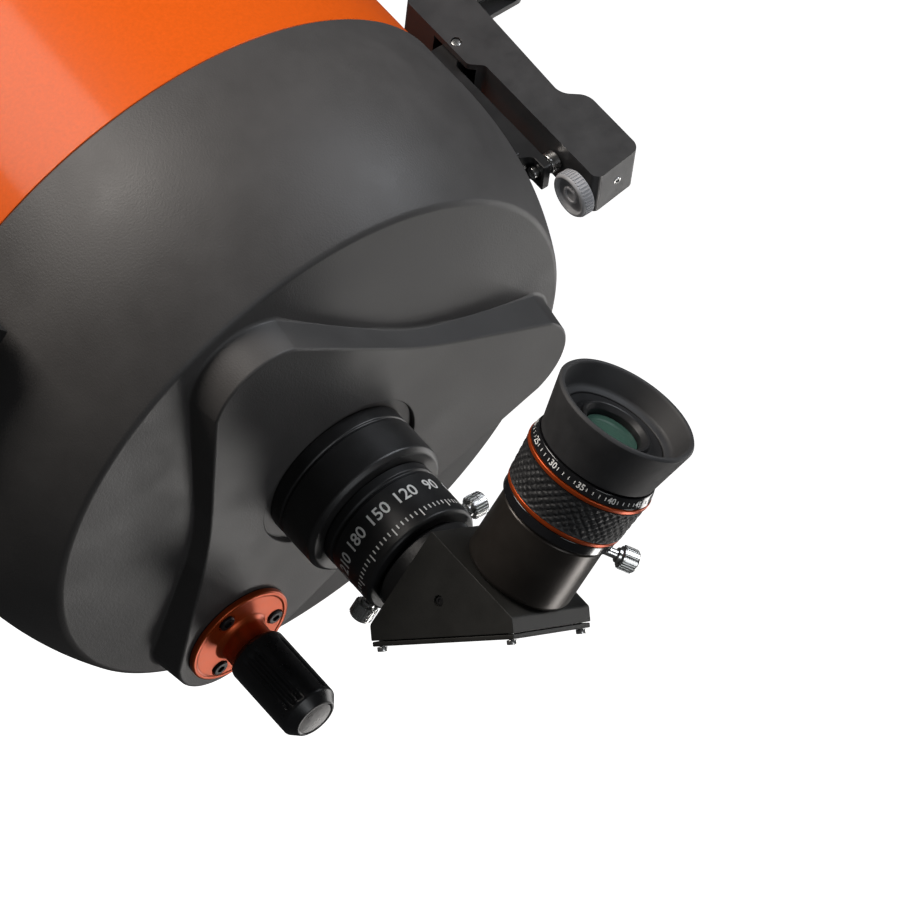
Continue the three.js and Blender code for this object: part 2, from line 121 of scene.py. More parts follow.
OPTICS = optical_bench()
UPRIGHT = OPTICS.shifted((0, 0, EYEPIECE_BACK), Vector((0, 0, 1)), Vector((1, 0, 0)))
FINDER = Bench(
    OPTICS.origin,
    Vector((math.sin(FINDER_ANGLE), 0, math.cos(FINDER_ANGLE))),
    Vector((math.cos(FINDER_ANGLE), 0, -math.sin(FINDER_ANGLE))),
)
FORWARD = Bench(OPTICS.origin, Vector((0, 1, 0)), Vector((1, 0, 0)))
SIDEWAYS = Bench(OPTICS.origin, Vector((1, 0, 0)), Vector((0, 1, 0)))
FINDER_SIDE = Bench(OPTICS.origin, FINDER.side, Vector((0, 1, 0)))


# Finishes

class Grain(Enum):
    """How the small relief of a finish is laid."""

    NONE = "none"
    SPECKLE = "speckle"
    TURNED = "turned"
    BRUSHED = "brushed"
    PEBBLE = "pebble"


@dataclass(frozen=True)
class Finish:
    """One surface finish as a node material.

    Args:
        title: The material's name.
        colour: Its linear base colour.
        roughness: Its mean roughness.
        metallic: How metallic it is.
        shade: How far its colour wanders to each side, as a share of it.
        gloss: How far its roughness wanders to each side.
        patch: The size of the patches that it wanders over, in millimetres.
        grain: How its small relief is laid.
        pitch: The size of the relief, in millimetres.
        relief: The strength of the relief.
        coat: The weight of a clear coat.
        specular: The specular level.
        glow: How brightly it shines by itself, as a lit studio floor does.
    """

    title: str
    colour: Colour
    roughness: float
    metallic: float = 0.0
    shade: float = 0.12
    gloss: float = 0.06
    patch: float = 9.0
    grain: Grain = Grain.NONE
    pitch: float = 0.5
    relief: float = 0.2
    coat: float = 0.0
    specular: float = 0.5
    glow: float = 0.0

    def material(self) -> bpy.types.Material:
        """Returns the material, made on its first use."""
        known = bpy.data.materials.get(self.title)
        if known:
            return known
        made = bpy.data.materials.new(self.title)
        made.use_nodes = True
        shader = made.node_tree.nodes["Principled BSDF"]
        shader.inputs["Metallic"].default_value = self.metallic
        shader.inputs["Coat Weight"].default_value = self.coat
        shader.inputs["Coat Roughness"].default_value = COAT_ROUGHNESS
        shader.inputs["Specular IOR Level"].default_value = self.specular
        shader.inputs["Emission Color"].default_value = (1, 1, 1, 1)
        shader.inputs["Emission Strength"].default_value = self.glow
        self._wander(made.node_tree, shader)
        if self.grain is not Grain.NONE:
            self._relief(made.node_tree, shader)
        return made

    def _wander(self, tree: bpy.types.NodeTree, shader: bpy.types.Node) -> None:
        """Lets the colour and the roughness wander over soft patches."""
        place = tree.nodes.new("ShaderNodeTexCoord")
        patches = tree.nodes.new("ShaderNodeTexNoise")
        patches.inputs["Scale"].default_value = 1 / (self.patch * MM)
        patches.inputs["Detail"].default_value = 5
        patches.inputs["Roughness"].default_value = 0.62
        tree.links.new(place.outputs["Object"], patches.inputs["Vector"])
        tint = tree.nodes.new("ShaderNodeValToRGB")
        ends = ((0.3, 1 - self.shade), (0.7, 1 + self.shade))
        for stop, (position, share) in zip(tint.color_ramp.elements, ends):
            stop.position = position
            stop.color = (*(min(1.0, part * share) for part in self.colour), 1)
        tree.links.new(patches.outputs["Fac"], tint.inputs["Fac"])
        tree.links.new(tint.outputs["Color"], shader.inputs["Base Color"])
        sheen = tree.nodes.new("ShaderNodeMapRange")
        sheen.inputs["From Min"].default_value = 0.3
        sheen.inputs["From Max"].default_value = 0.7
        sheen.inputs["To Min"].default_value = max(0.02, self.roughness - self.gloss)
        sheen.inputs["To Max"].default_value = min(1.0, self.roughness + self.gloss)
        tree.links.new(patches.outputs["Fac"], sheen.inputs["Value"])
        tree.links.new(sheen.outputs["Result"], shader.inputs["Roughness"])

    def _relief(self, tree: bpy.types.NodeTree, shader: bpy.types.Node) -> None:
        """Adds the small relief as a bump."""
        place = tree.nodes.new("ShaderNodeTexCoord")
        lay = tree.nodes.new("ShaderNodeMapping")
        stretch = {Grain.TURNED: (0.05, 1, 0.05), Grain.BRUSHED: (0.04, 1, 1)}
        lay.inputs["Scale"].default_value = stretch.get(self.grain, (1, 1, 1))
        tree.links.new(place.outputs["Object"], lay.inputs["Vector"])
        if self.grain is Grain.PEBBLE:
            field = tree.nodes.new("ShaderNodeTexVoronoi")
            height = field.outputs["Distance"]
        else:
            field = tree.nodes.new("ShaderNodeTexNoise")
            field.inputs["Detail"].default_value = 3
            height = field.outputs["Fac"]
        field.inputs["Scale"].default_value = 1 / (self.pitch * MM)
        tree.links.new(lay.outputs["Vector"], field.inputs["Vector"])
        bump = tree.nodes.new("ShaderNodeBump")
        bump.inputs["Strength"].default_value = self.relief
        bump.inputs["Distance"].default_value = self.pitch * MM * 0.4
        tree.links.new(height, bump.inputs["Height"])
        tree.links.new(bump.outputs["Normal"], shader.inputs["Normal"])


@dataclass(frozen=True)
class Glass:
    """Clear or coated glass.

    Args:
        title: The material's name.
        colour: The tint of what shines through.
        roughness: Its roughness.
        clear: How much light it lets through.
    """

    title: str
    colour: Colour
    roughness: float = 0.02
    clear: float = 1.0

    def material(self) -> bpy.types.Material:
        """Returns the material, made on its first use."""
        known = bpy.data.materials.get(self.title)
        if known:
            return known
        made = bpy.data.materials.new(self.title)
        made.use_nodes = True
        tree = made.node_tree
        shader = tree.nodes["Principled BSDF"]
        shader.inputs["Transmission Weight"].default_value = self.clear
        shader.inputs["IOR"].default_value = 1.5
        shader.inputs["Roughness"].default_value = self.roughness
        place = tree.nodes.new("ShaderNodeTexCoord")
        haze = tree.nodes.new("ShaderNodeTexNoise")
        haze.inputs["Scale"].default_value = 60
        tree.links.new(place.outputs["Object"], haze.inputs["Vector"])
        tint = tree.nodes.new("ShaderNodeValToRGB")
        tint.color_ramp.elements[0].color = (*(part * 0.96 for part in self.colour), 1)
        tint.color_ramp.elements[1].color = (*self.colour, 1)
        tree.links.new(haze.outputs["Fac"], tint.inputs["Fac"])
        tree.links.new(tint.outputs["Color"], shader.inputs["Base Color"])
        return made


CAST_GREY = Finish(
    "cast grey coat", (0.052, 0.0495, 0.0485), 0.5, shade=0.1, patch=22,
    grain=Grain.SPECKLE, pitch=0.7, relief=0.26, specular=0.35,
)
TUBE_ORANGE = Finish(
    "orange tube paint", (0.62, 0.085, 0.002), 0.5, specular=0.15, shade=0.07, patch=1.2,
    grain=Grain.SPECKLE, pitch=0.35, relief=0.05, coat=0.12,
)
ORANGE_ANODISED = Finish(
    "orange anodising", (0.42, 0.06, 0.008), 0.36, metallic=0.6, shade=0.1, patch=5,
    grain=Grain.TURNED, pitch=0.6, relief=0.08,
)
BLACK_ANODISED = Finish(
    "black anodising", (0.012, 0.012, 0.0125), 0.42, specular=0.3, shade=0.15, patch=12,
    grain=Grain.SPECKLE, pitch=0.4, relief=0.08,
)
MATT_BLACK = Finish(
    "matt black lining", (0.012, 0.012, 0.012), 0.8, shade=0.2, patch=6,
    grain=Grain.SPECKLE, pitch=0.4, relief=0.2,
)
RUBBER = Finish(
    "black rubber", (0.022, 0.022, 0.023), 0.62, shade=0.15, patch=7,
    grain=Grain.SPECKLE, pitch=0.3, relief=0.18, specular=0.4,
)
GRIP_RUBBER = Finish(
    "grip rubber", (0.014, 0.014, 0.015), 0.55, shade=0.2, patch=5,
    grain=Grain.PEBBLE, pitch=1.1, relief=0.6,
)
BLACK_PLASTIC = Finish(
    "black plastic", (0.025, 0.025, 0.026), 0.45, shade=0.12, patch=9,
    grain=Grain.SPECKLE, pitch=0.35, relief=0.15,
)
GREY_PLASTIC = Finish(
    "grey plastic", (0.3, 0.3, 0.31), 0.5, shade=0.1, patch=6,
    grain=Grain.SPECKLE, pitch=0.4, relief=0.1,
)
BARE_STEEL = Finish(
    "bright steel", (0.66, 0.66, 0.65), 0.28, metallic=1.0, shade=0.08, patch=3,
    grain=Grain.SPECKLE, pitch=0.3, relief=0.08,
)
POLISHED = Finish(
    "polished chrome", (0.75, 0.75, 0.76), 0.12, metallic=1.0, shade=0.04, gloss=0.03, patch=14,
)
MACHINED = Finish(
    "machined aluminium", (0.6, 0.6, 0.61), 0.35, metallic=1.0, shade=0.08, patch=8,
    grain=Grain.BRUSHED, pitch=0.5, relief=0.1,
)
BRASS = Finish(
    "brass", (0.6, 0.42, 0.16), 0.3, metallic=1.0, shade=0.1, patch=5,
    grain=Grain.TURNED, pitch=0.4, relief=0.1,
)
SILVERING = Finish(
    "silvered glass", (0.9, 0.91, 0.92), 0.03, metallic=1.0, shade=0.02, gloss=0.01, patch=40,
)
PRINT_WHITE = Finish(
    "white print", (0.72, 0.72, 0.7), 0.5, shade=0.06, patch=2,
)
KNOB_BLACK = Finish(
    "knob black", (0.012, 0.012, 0.013), 0.3, shade=0.2, patch=5,
    grain=Grain.SPECKLE, pitch=0.4, relief=0.1,
)
GLOSS_BLACK = Finish(
    "gloss black band", (0.008, 0.008, 0.009), 0.16, shade=0.2, gloss=0.04, patch=6, coat=0.5,
)
TUBE_BLACK = Finish(
    "eyepiece tube black", (0.035, 0.03, 0.026), 0.34, metallic=0.6, shade=0.12, patch=16,
    grain=Grain.SPECKLE, pitch=0.4, relief=0.06,
)
DIAGONAL_BLACK = Finish(
    "diagonal black", (0.02, 0.0195, 0.018), 0.42, metallic=0.1, shade=0.1, patch=12,
    grain=Grain.SPECKLE, pitch=0.5, relief=0.14,
)
PORT_GREY = Finish(
    "port ring coat", (0.013, 0.0125, 0.0125), 0.42, shade=0.12, patch=10,
    grain=Grain.SPECKLE, pitch=0.5, relief=0.18,
)
FLOOR_WHITE = Finish(
    "pale floor", (0.8, 0.8, 0.8), 0.9, shade=0.01, gloss=0.02, patch=400, specular=0.1, glow=0.95,
)
CLEAR_GLASS = Glass("clear glass", (0.97, 0.99, 0.98))
LENS_GLASS = Glass("coated lens", (0.06, 0.13, 0.1), roughness=0.03, clear=0.35)


# Metalwork: pieces as bmeshes in a bench's millimetres

def outline(corners: Sequence[Corner], upright: bool, closed: bool, facets: int = 5) -> bmesh.types.BMesh:
    """Draws a chain of corners and rounds the ones that have a third value, their rounding.

    Args:
        corners: Pairs, or triples with a rounding, in order.
        upright: Whether the second value of a corner is a height (Z) or lies flat (Y).
        closed: Whether the last corner joins the first.
        facets: How many edges a rounded corner takes.

    Returns:
        A bmesh that holds the chain as loose edges.
    """
    mesh = bmesh.new()
    points = [(c[0], 0, c[1]) if upright else (c[0], c[1], 0) for c in corners]
    verts = [mesh.verts.new(point) for point in points]
    for start, end in zip(verts, verts[1:] + verts[:1] if closed else verts[1:]):
        mesh.edges.new((start, end))
    for vert, corner in zip(verts, corners):
        if len(corner) > 2:
            bmesh.ops.bevel(
                mesh, geom=[vert], offset=corner[2], offset_type="OFFSET", segments=facets,
                profile=0.5, affect="VERTICES", material=-1,
            )
    return mesh


def turned(section: Sequence[Corner], steps: int = 128, facets: int = 5) -> bmesh.types.BMesh:
    """Spins a section of (radius, height, rounding) corners about the bench's axis.

    Args:
        section: The corners, in order round the section. One that starts and ends at radius 0 is
            left open there, and its poles close on the axis.
        steps: How many facets make the full turn.
        facets: How many edges a rounded corner takes.
    """
    closed = section[0][0] > 0 or section[-1][0] > 0
    mesh = outline(section, True, closed, facets)
    bmesh.ops.spin(
        mesh, geom=mesh.verts[:] + mesh.edges[:], cent=(0, 0, 0), axis=(0, 0, 1),
        angle=math.tau, steps=steps, use_merge=True,
    )
    bmesh.ops.remove_doubles(mesh, verts=mesh.verts[:], dist=1e-3)
    bmesh.ops.recalc_face_normals(mesh, faces=mesh.faces[:])
    return mesh


def break_edges(mesh: bmesh.types.BMesh, width: float, facets: int = 2, angle: float = 30) -> None:
    """Rounds every edge that is sharper than an angle in degrees."""
    sharp = [
        edge for edge in mesh.edges
        if len(edge.link_faces) == 2 and edge.calc_face_angle() > math.radians(angle)
    ]
    bmesh.ops.bevel(
        mesh, geom=sharp, offset=width, offset_type="OFFSET", segments=facets, profile=0.5,
        affect="EDGES", material=-1, clamp_overlap=True,
    )


def plate(corners: Sequence[Corner], low: float, high: float, edge: float = 0.4) -> bmesh.types.BMesh:
    """Raises a flat outline between two heights and rounds its edges."""
    mesh = outline(corners, False, True)
    base = bmesh.ops.contextual_create(mesh, geom=mesh.edges[:])["faces"]
    bmesh.ops.translate(mesh, verts=mesh.verts[:], vec=(0, 0, low))
    top = bmesh.ops.extrude_face_region(mesh, geom=base)["geom"]
    raised = [item for item in top if isinstance(item, bmesh.types.BMVert)]
    bmesh.ops.translate(mesh, verts=raised, vec=(0, 0, high - low))
    bmesh.ops.recalc_face_normals(mesh, faces=mesh.faces[:])
    if edge > 0:
        break_edges(mesh, edge)
    return mesh


def block(low: Sequence[float], high: Sequence[float], edge: float = 0.4) -> bmesh.types.BMesh:
    """Makes a block between two corners with rounded edges."""
    mesh = bmesh.new()
    bmesh.ops.create_cube(mesh, size=1)
    size = Vector(high) - Vector(low)
    bmesh.ops.scale(mesh, vec=size, verts=mesh.verts[:])
    bmesh.ops.translate(mesh, vec=(Vector(high) + Vector(low)) / 2, verts=mesh.verts[:])
    if edge > 0:
        break_edges(mesh, edge)
    return mesh


def moved(mesh: bmesh.types.BMesh, matrix: Matrix) -> bmesh.types.BMesh:
    """Moves a part-made piece and returns it."""
    bmesh.ops.transform(mesh, matrix=matrix, verts=mesh.verts[:])
    return mesh


def around(mesh: bmesh.types.BMesh, count: int) -> bmesh.types.BMesh:
    """Repeats a part-made piece evenly round the bench's axis and returns it."""
    bmesh.ops.spin(
        mesh, geom=mesh.verts[:] + mesh.edges[:] + mesh.faces[:], cent=(0, 0, 0), axis=(0, 0, 1),
        angle=math.tau * (count - 1) / count, steps=count - 1, use_duplicate=True,
    )
    return mesh


def gathered(parts: Sequence[bmesh.types.BMesh]) -> bmesh.types.BMesh:
    """Puts several part-made pieces into one."""
    whole = bmesh.new()
    for part in parts:
        carrier = bpy.data.meshes.new("carrier")
        part.to_mesh(carrier)
        part.free()
        whole.from_mesh(carrier)
        bpy.data.meshes.remove(carrier)
    return whole


def loose_object(mesh: bmesh.types.BMesh) -> bpy.types.Object:
    """Turns a part-made piece into a short-lived object and frees it."""
    data = bpy.data.meshes.new("blank")
    mesh.to_mesh(data)
    mesh.free()
    blank = bpy.data.objects.new("blank", data)
    bpy.context.scene.collection.objects.link(blank)
    return blank


def picked_up(blank: bpy.types.Object) -> bmesh.types.BMesh:
    """Returns a short-lived object's finished shape as a bmesh."""
    shaped = blank.evaluated_get(bpy.context.evaluated_depsgraph_get())
    mesh = bmesh.new()
    mesh.from_mesh(shaped.to_mesh())
    shaped.to_mesh_clear()
    return mesh


def carved(mesh: bmesh.types.BMesh, tools: Sequence[bmesh.types.BMesh]) -> bmesh.types.BMesh:
    """Cuts tools that stand clear of each other out of a closed piece.

    Args:
        mesh: The piece. It is freed.
        tools: The closed tools. They are freed.

    Returns:
        The cut piece.
    """
    blank = loose_object(mesh)
    cutter = loose_object(gathered(tools))
    cut = blank.modifiers.new("cut", "BOOLEAN")
    cut.operation = "DIFFERENCE"
    cut.solver = "EXACT"
    cut.object = cutter
    result = picked_up(blank)
    for spent in (blank, cutter):
        data = spent.data
        bpy.data.objects.remove(spent)
        bpy.data.meshes.remove(data)
    return result


def lettering(text: str, size: float, height: float) -> bmesh.types.BMesh:
    """Returns a numeral as a thin solid, centred on the bench and lying flat."""
    curve = bpy.data.curves.new("numeral", "FONT")
    curve.body = text
    curve.size = size
    curve.align_x = "CENTER"
    curve.align_y = "CENTER"
    curve.offset = size * 0.012
    curve.extrude = height
    curve.resolution_u = 3
    blank = bpy.data.objects.new("numeral", curve)
    bpy.context.scene.collection.objects.link(blank)
    mesh = picked_up(blank)
    bpy.data.objects.remove(blank)
    bpy.data.curves.remove(curve)
    bmesh.ops.remove_doubles(mesh, verts=mesh.verts[:], dist=1e-4)
    return mesh


def wrapped(
    mesh: bmesh.types.BMesh, radius: float, height: float, heading: float, upright: int,
) -> bmesh.types.BMesh:
    """Wraps a flat print round a cylinder about the bench's axis.

    Args:
        mesh: The flat print, whose Z becomes the distance out from the cylinder.
        radius: The cylinder's radius.
        height: The height of the print's middle.
        heading: The angle of the print's middle.
        upright: 1 where the print's top is up, and -1 where it is down.
    """
    for vert in mesh.verts:
        angle = heading + upright * vert.co.x / radius
        reach = radius + vert.co.z
        vert.co = (reach * math.cos(angle), reach * math.sin(angle), height + upright * vert.co.y)
    return mesh


def leaned(mesh: bmesh.types.BMesh, height: float, slope: float) -> bmesh.types.BMesh:
    """Draws a wrapped print in towards the axis as it rises past a height."""
    for vert in mesh.verts:
        reach = vert.co.xy.length
        vert.co.xy *= (reach - slope * (vert.co.z - height)) / reach
    return mesh


def pointed(axis: Vector, at: Sequence[float]) -> Matrix:
    """Returns the turn and shift that points the bench's Z along an axis from a point."""
    return Matrix.Translation(Vector(at)) @ axis.to_track_quat("Z", "Y").to_matrix().to_4x4()


def on_circle(radius: float, degrees: float) -> Matrix:
    """Returns the shift to a point on a circle about the bench's axis."""
    angle = math.radians(degrees)
    return Matrix.Translation((radius * math.cos(angle), radius * math.sin(angle), 0))


def rod(radius: float, low: float, high: float, steps: int) -> bmesh.types.BMesh:
    """Makes a plain closed rod about the bench's axis."""
    return turned([(0, low), (radius, low), (radius, high), (0, high)], steps)


def set_down(
    name: str, mesh: bmesh.types.BMesh, bench: Bench, finish: Finish | Glass, node: str,
    stands_in: bool = True, sharp: float = 34,
) -> bpy.types.Object:
    """Finishes a piece and sets it in the telescope's frame.

    Args:
        name: The piece's name.
        mesh: Its bmesh, in the bench's millimetres. It is freed.
        bench: The bench that it was made on.
        finish: Its finish.
        node: The node that it rides with.
        stands_in: Whether it takes that node's place.
        sharp: The angle in degrees past which an edge stays sharp.

    Returns:
        The piece's object.
    """
    moved(mesh, bench.matrix())
    data = bpy.data.meshes.new(name)
    mesh.to_mesh(data)
    mesh.free()
    data.materials.append(finish.material())
    data.shade_smooth()
    data.set_sharp_from_angle(angle=math.radians(sharp))
    piece = bpy.data.objects.new(name, data)
    bpy.context.scene.collection.objects.link(piece)
    weights = piece.modifiers.new("face_weights", "WEIGHTED_NORMAL")
    weights.keep_sharp = True
    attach(piece, BODY_OF[node])
    if stands_in:
        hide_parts(node)
    log.info("%s: %d faces", name, len(data.polygons))
    return piece


def socket_screw(head: float, height: float, shank: float, length: float) -> bmesh.types.BMesh:
    """Makes a socket-headed screw whose head starts at height 0 and whose shank points down."""
    screw = turned([
        (0, -length), (shank, -length), (shank, 0), (head, 0, head * 0.08),
        (head, height, head * 0.14), (0, height),
    ], 40, 3)
    socket = rod(head * 0.55, height * 0.35, height + 2, 6)
    return carved(screw, [socket])


def thumbscrew_mesh() -> bmesh.types.BMesh:
    """Makes a knurled thumbscrew whose head starts at height 0 and whose shank points down."""
    shank = turned([(0, -6.1), (1.6, -6.1, 0.3), (1.6, -0.9), (2.6, -0.7, 0.2), (2.6, 0.8), (0, 0.8)], 32)
    head = turned([
        (0, 0.6), (3.7, 0.6, 0.3), (3.7, 6.3, 0.5), (2.1, 6.75, 0.2), (1.5, 6.3, 0.2), (0, 6.3),
    ], 48)
    rib = block((3.4, -0.26, 1.0), (4.12, 0.26, 5.7), 0.1)
    return gathered([shank, head, around(rib, 22)])


# Sub-assemblies

@dataclass
class RearCell:
    """The cast rear cell: a swelling shell and the three-lobed plateau on its conical back."""

    radius: float = 117.0
    rim_radius: float = 103.0
    swell: float = 60.0
    fullness: float = 2.4
    length: float = 76.5
    spigot_radius: float = 113.6
    slope: float = 0.16
    bore: float = 22.3
    plateau_back: float = 14.5
    lobe_radius: float = 24.4
    lobe_distance: float = 75.0
    notch_distance: float = 56.4
    notch_rounding: float = 16.0
    foot: float = 1.3
    crest: float = 1.1
    draft: float = 1.6
    recess_radius: float = 31.0
    recess_depth: float = 2.0
    recess_edge: float = 0.5

    def cone(self, radius: float) -> float:
        """Returns the height of the conical back at a radius."""
        return self.slope * (self.rim_radius - radius)

    def shell(self) -> bmesh.types.BMesh:
        """Returns the shell with its swelling side wall."""
        side = []
        stations = 24
        for i in range(1, stations + 1):
            forward = self.swell * i / stations
            drop = (self.radius - self.rim_radius) * (1 - forward / self.swell) ** self.fullness
            side.append((self.radius - drop, -forward))
        section = [
            (self.bore, self.cone(self.bore)), (self.rim_radius, 0, 1.6), *side,
            (self.radius, 0.8 - self.length), (self.radius - 0.8, -self.length),
            (self.spigot_radius, -self.length), (self.spigot_radius, -self.length - 10),
            (108.6, -self.length - 10), (108.6, -self.swell), (105, -30), (98, -9), (90, -4),
            (48, 4), (self.bore, 4),
        ]
        return turned(section, 256, 6)

    def plateau_rim(self) -> bmesh.types.BMesh:
        """Returns the plateau's outline at its foot, as a filled face."""
        third = math.tau / 3
        reach = Vector((
            self.lobe_distance * math.sin(third / 2),
            self.lobe_distance * math.cos(third / 2) - self.notch_distance,
        ))
        rise = math.asin(self.lobe_radius / reach.length) + math.atan2(reach.y, reach.x)
        spread = third / 2 - rise
        points: list[Vector] = []
        for lobe in range(3):
            heading = math.radians(30) + lobe * third
            centre = Vector((math.cos(heading), math.sin(heading))) * self.lobe_distance
            for i in range(33):
                angle = heading - spread + 2 * spread * i / 32
                points.append(centre + Vector((math.cos(angle), math.sin(angle))) * self.lobe_radius)
            points.extend(self._notch(heading + third / 2, rise))
        mesh = bmesh.new()
        ring = [mesh.verts.new((*point, 0)) for point in points]
        for start, end in zip(ring, ring[1:] + ring[:1]):
            mesh.edges.new((start, end))
        bmesh.ops.contextual_create(mesh, geom=mesh.edges[:])
        mesh.normal_update()
        if mesh.faces[:][0].normal.z < 0:
            bmesh.ops.reverse_faces(mesh, faces=mesh.faces[:])
        return mesh

    def _notch(self, heading: float, rise: float) -> list[Vector]:
        """Returns the points of one rounded notch between two lobes."""
        turn = Matrix.Rotation(heading, 2)
        apex = Vector((self.notch_distance, 0))
        run = Vector((math.sin(rise), math.cos(rise))) * self.notch_rounding
        before = apex + Vector((run.x, -run.y))
        after = apex + run
        points = []
        for i in range(25):
            t = i / 24
            points.append(turn @ (before * (1 - t) ** 2 + apex * 2 * t * (1 - t) + after * t ** 2))
        return points

    def plateau(self) -> bmesh.types.BMesh:
        """Returns the plateau with a hollow fillet at its foot, a rounded crest and the port's recess."""
        mesh = self.plateau_rim()
        rise = self.plateau_back
        profile = [(0.0, 0.0)]
        for i in range(1, 7):
            angle = math.radians(15 * i)
            profile.append((self.foot * math.sin(angle), self.foot * (1 - math.cos(angle))))
        wall = rise - self.foot - self.crest
        profile.append((self.foot + self.draft, self.foot + wall))
        for i in range(1, 7):
            angle = math.radians(15 * i)
            profile.append((
                self.foot + self.draft + self.crest * (1 - math.cos(angle)),
                rise - self.crest * (1 - math.sin(angle)),
            ))
        face = mesh.faces[:]
        here = profile[0]
        for there in profile[1:]:
            bmesh.ops.inset_region(
                mesh, faces=face, thickness=there[0] - here[0], depth=there[1] - here[1],
                use_even_offset=True, use_boundary=True,
            )
            here = there
        self._recess(mesh, face[0])
        for vert in mesh.verts:
            share = min(1.0, vert.co.z / rise)
            if vert.co.xy.length > self.recess_radius + 1:
                vert.co.z = self.cone(vert.co.xy.length) * (1 - share) + rise * share
        return mesh

    def _recess(self, mesh: bmesh.types.BMesh, face: bmesh.types.BMFace) -> None:
        """Opens the plateau's flat face round the port and sinks a shallow recess there."""
        border = list(face.edges)
        bmesh.ops.delete(mesh, geom=[face], context="FACES_ONLY")
        reach = self.recess_radius + self.recess_edge
        circle = bmesh.ops.create_circle(mesh, segments=160, radius=reach)["verts"]
        bmesh.ops.translate(mesh, verts=circle, vec=(0, 0, self.plateau_back))
        loop = list({edge for vert in circle for edge in vert.link_edges})
        bmesh.ops.triangle_fill(mesh, edges=border + loop, use_beauty=True, normal=(0, 0, 1))
        edge = self.recess_edge
        steps = [(math.sin(math.radians(18 * i)), 1 - math.cos(math.radians(18 * i))) for i in range(6)]
        path = [
            (self.recess_radius + edge * (1 - a), self.plateau_back - edge * b) for a, b in steps[1:]
        ]
        path += [
            (self.recess_radius - 0.1, self.plateau_back - self.recess_depth),
            (self.bore, self.plateau_back - self.recess_depth),
        ]
        height = self.plateau_back
        for radius, level in path:
            ring = bmesh.ops.extrude_edge_only(mesh, edges=loop)["geom"]
            verts = [item for item in ring if isinstance(item, bmesh.types.BMVert)]
            loop = [item for item in ring if isinstance(item, bmesh.types.BMEdge)]
            loop = [item for item in loop if all(vert in verts for vert in item.verts)]
            bmesh.ops.scale(mesh, vec=(radius / reach, radius / reach, 1), verts=verts)
            bmesh.ops.translate(mesh, vec=(0, 0, level - height), verts=verts)
            reach, height = radius, level

    def build(self) -> None:
        """Makes the casting and sets it down."""
        top = self.plateau()
        bmesh.ops.recalc_face_normals(top, faces=top.faces[:])
        casting = gathered([self.shell(), top])
        set_down("rear_cell_casting", casting, OPTICS, CAST_GREY, "rear_cell", sharp=40)


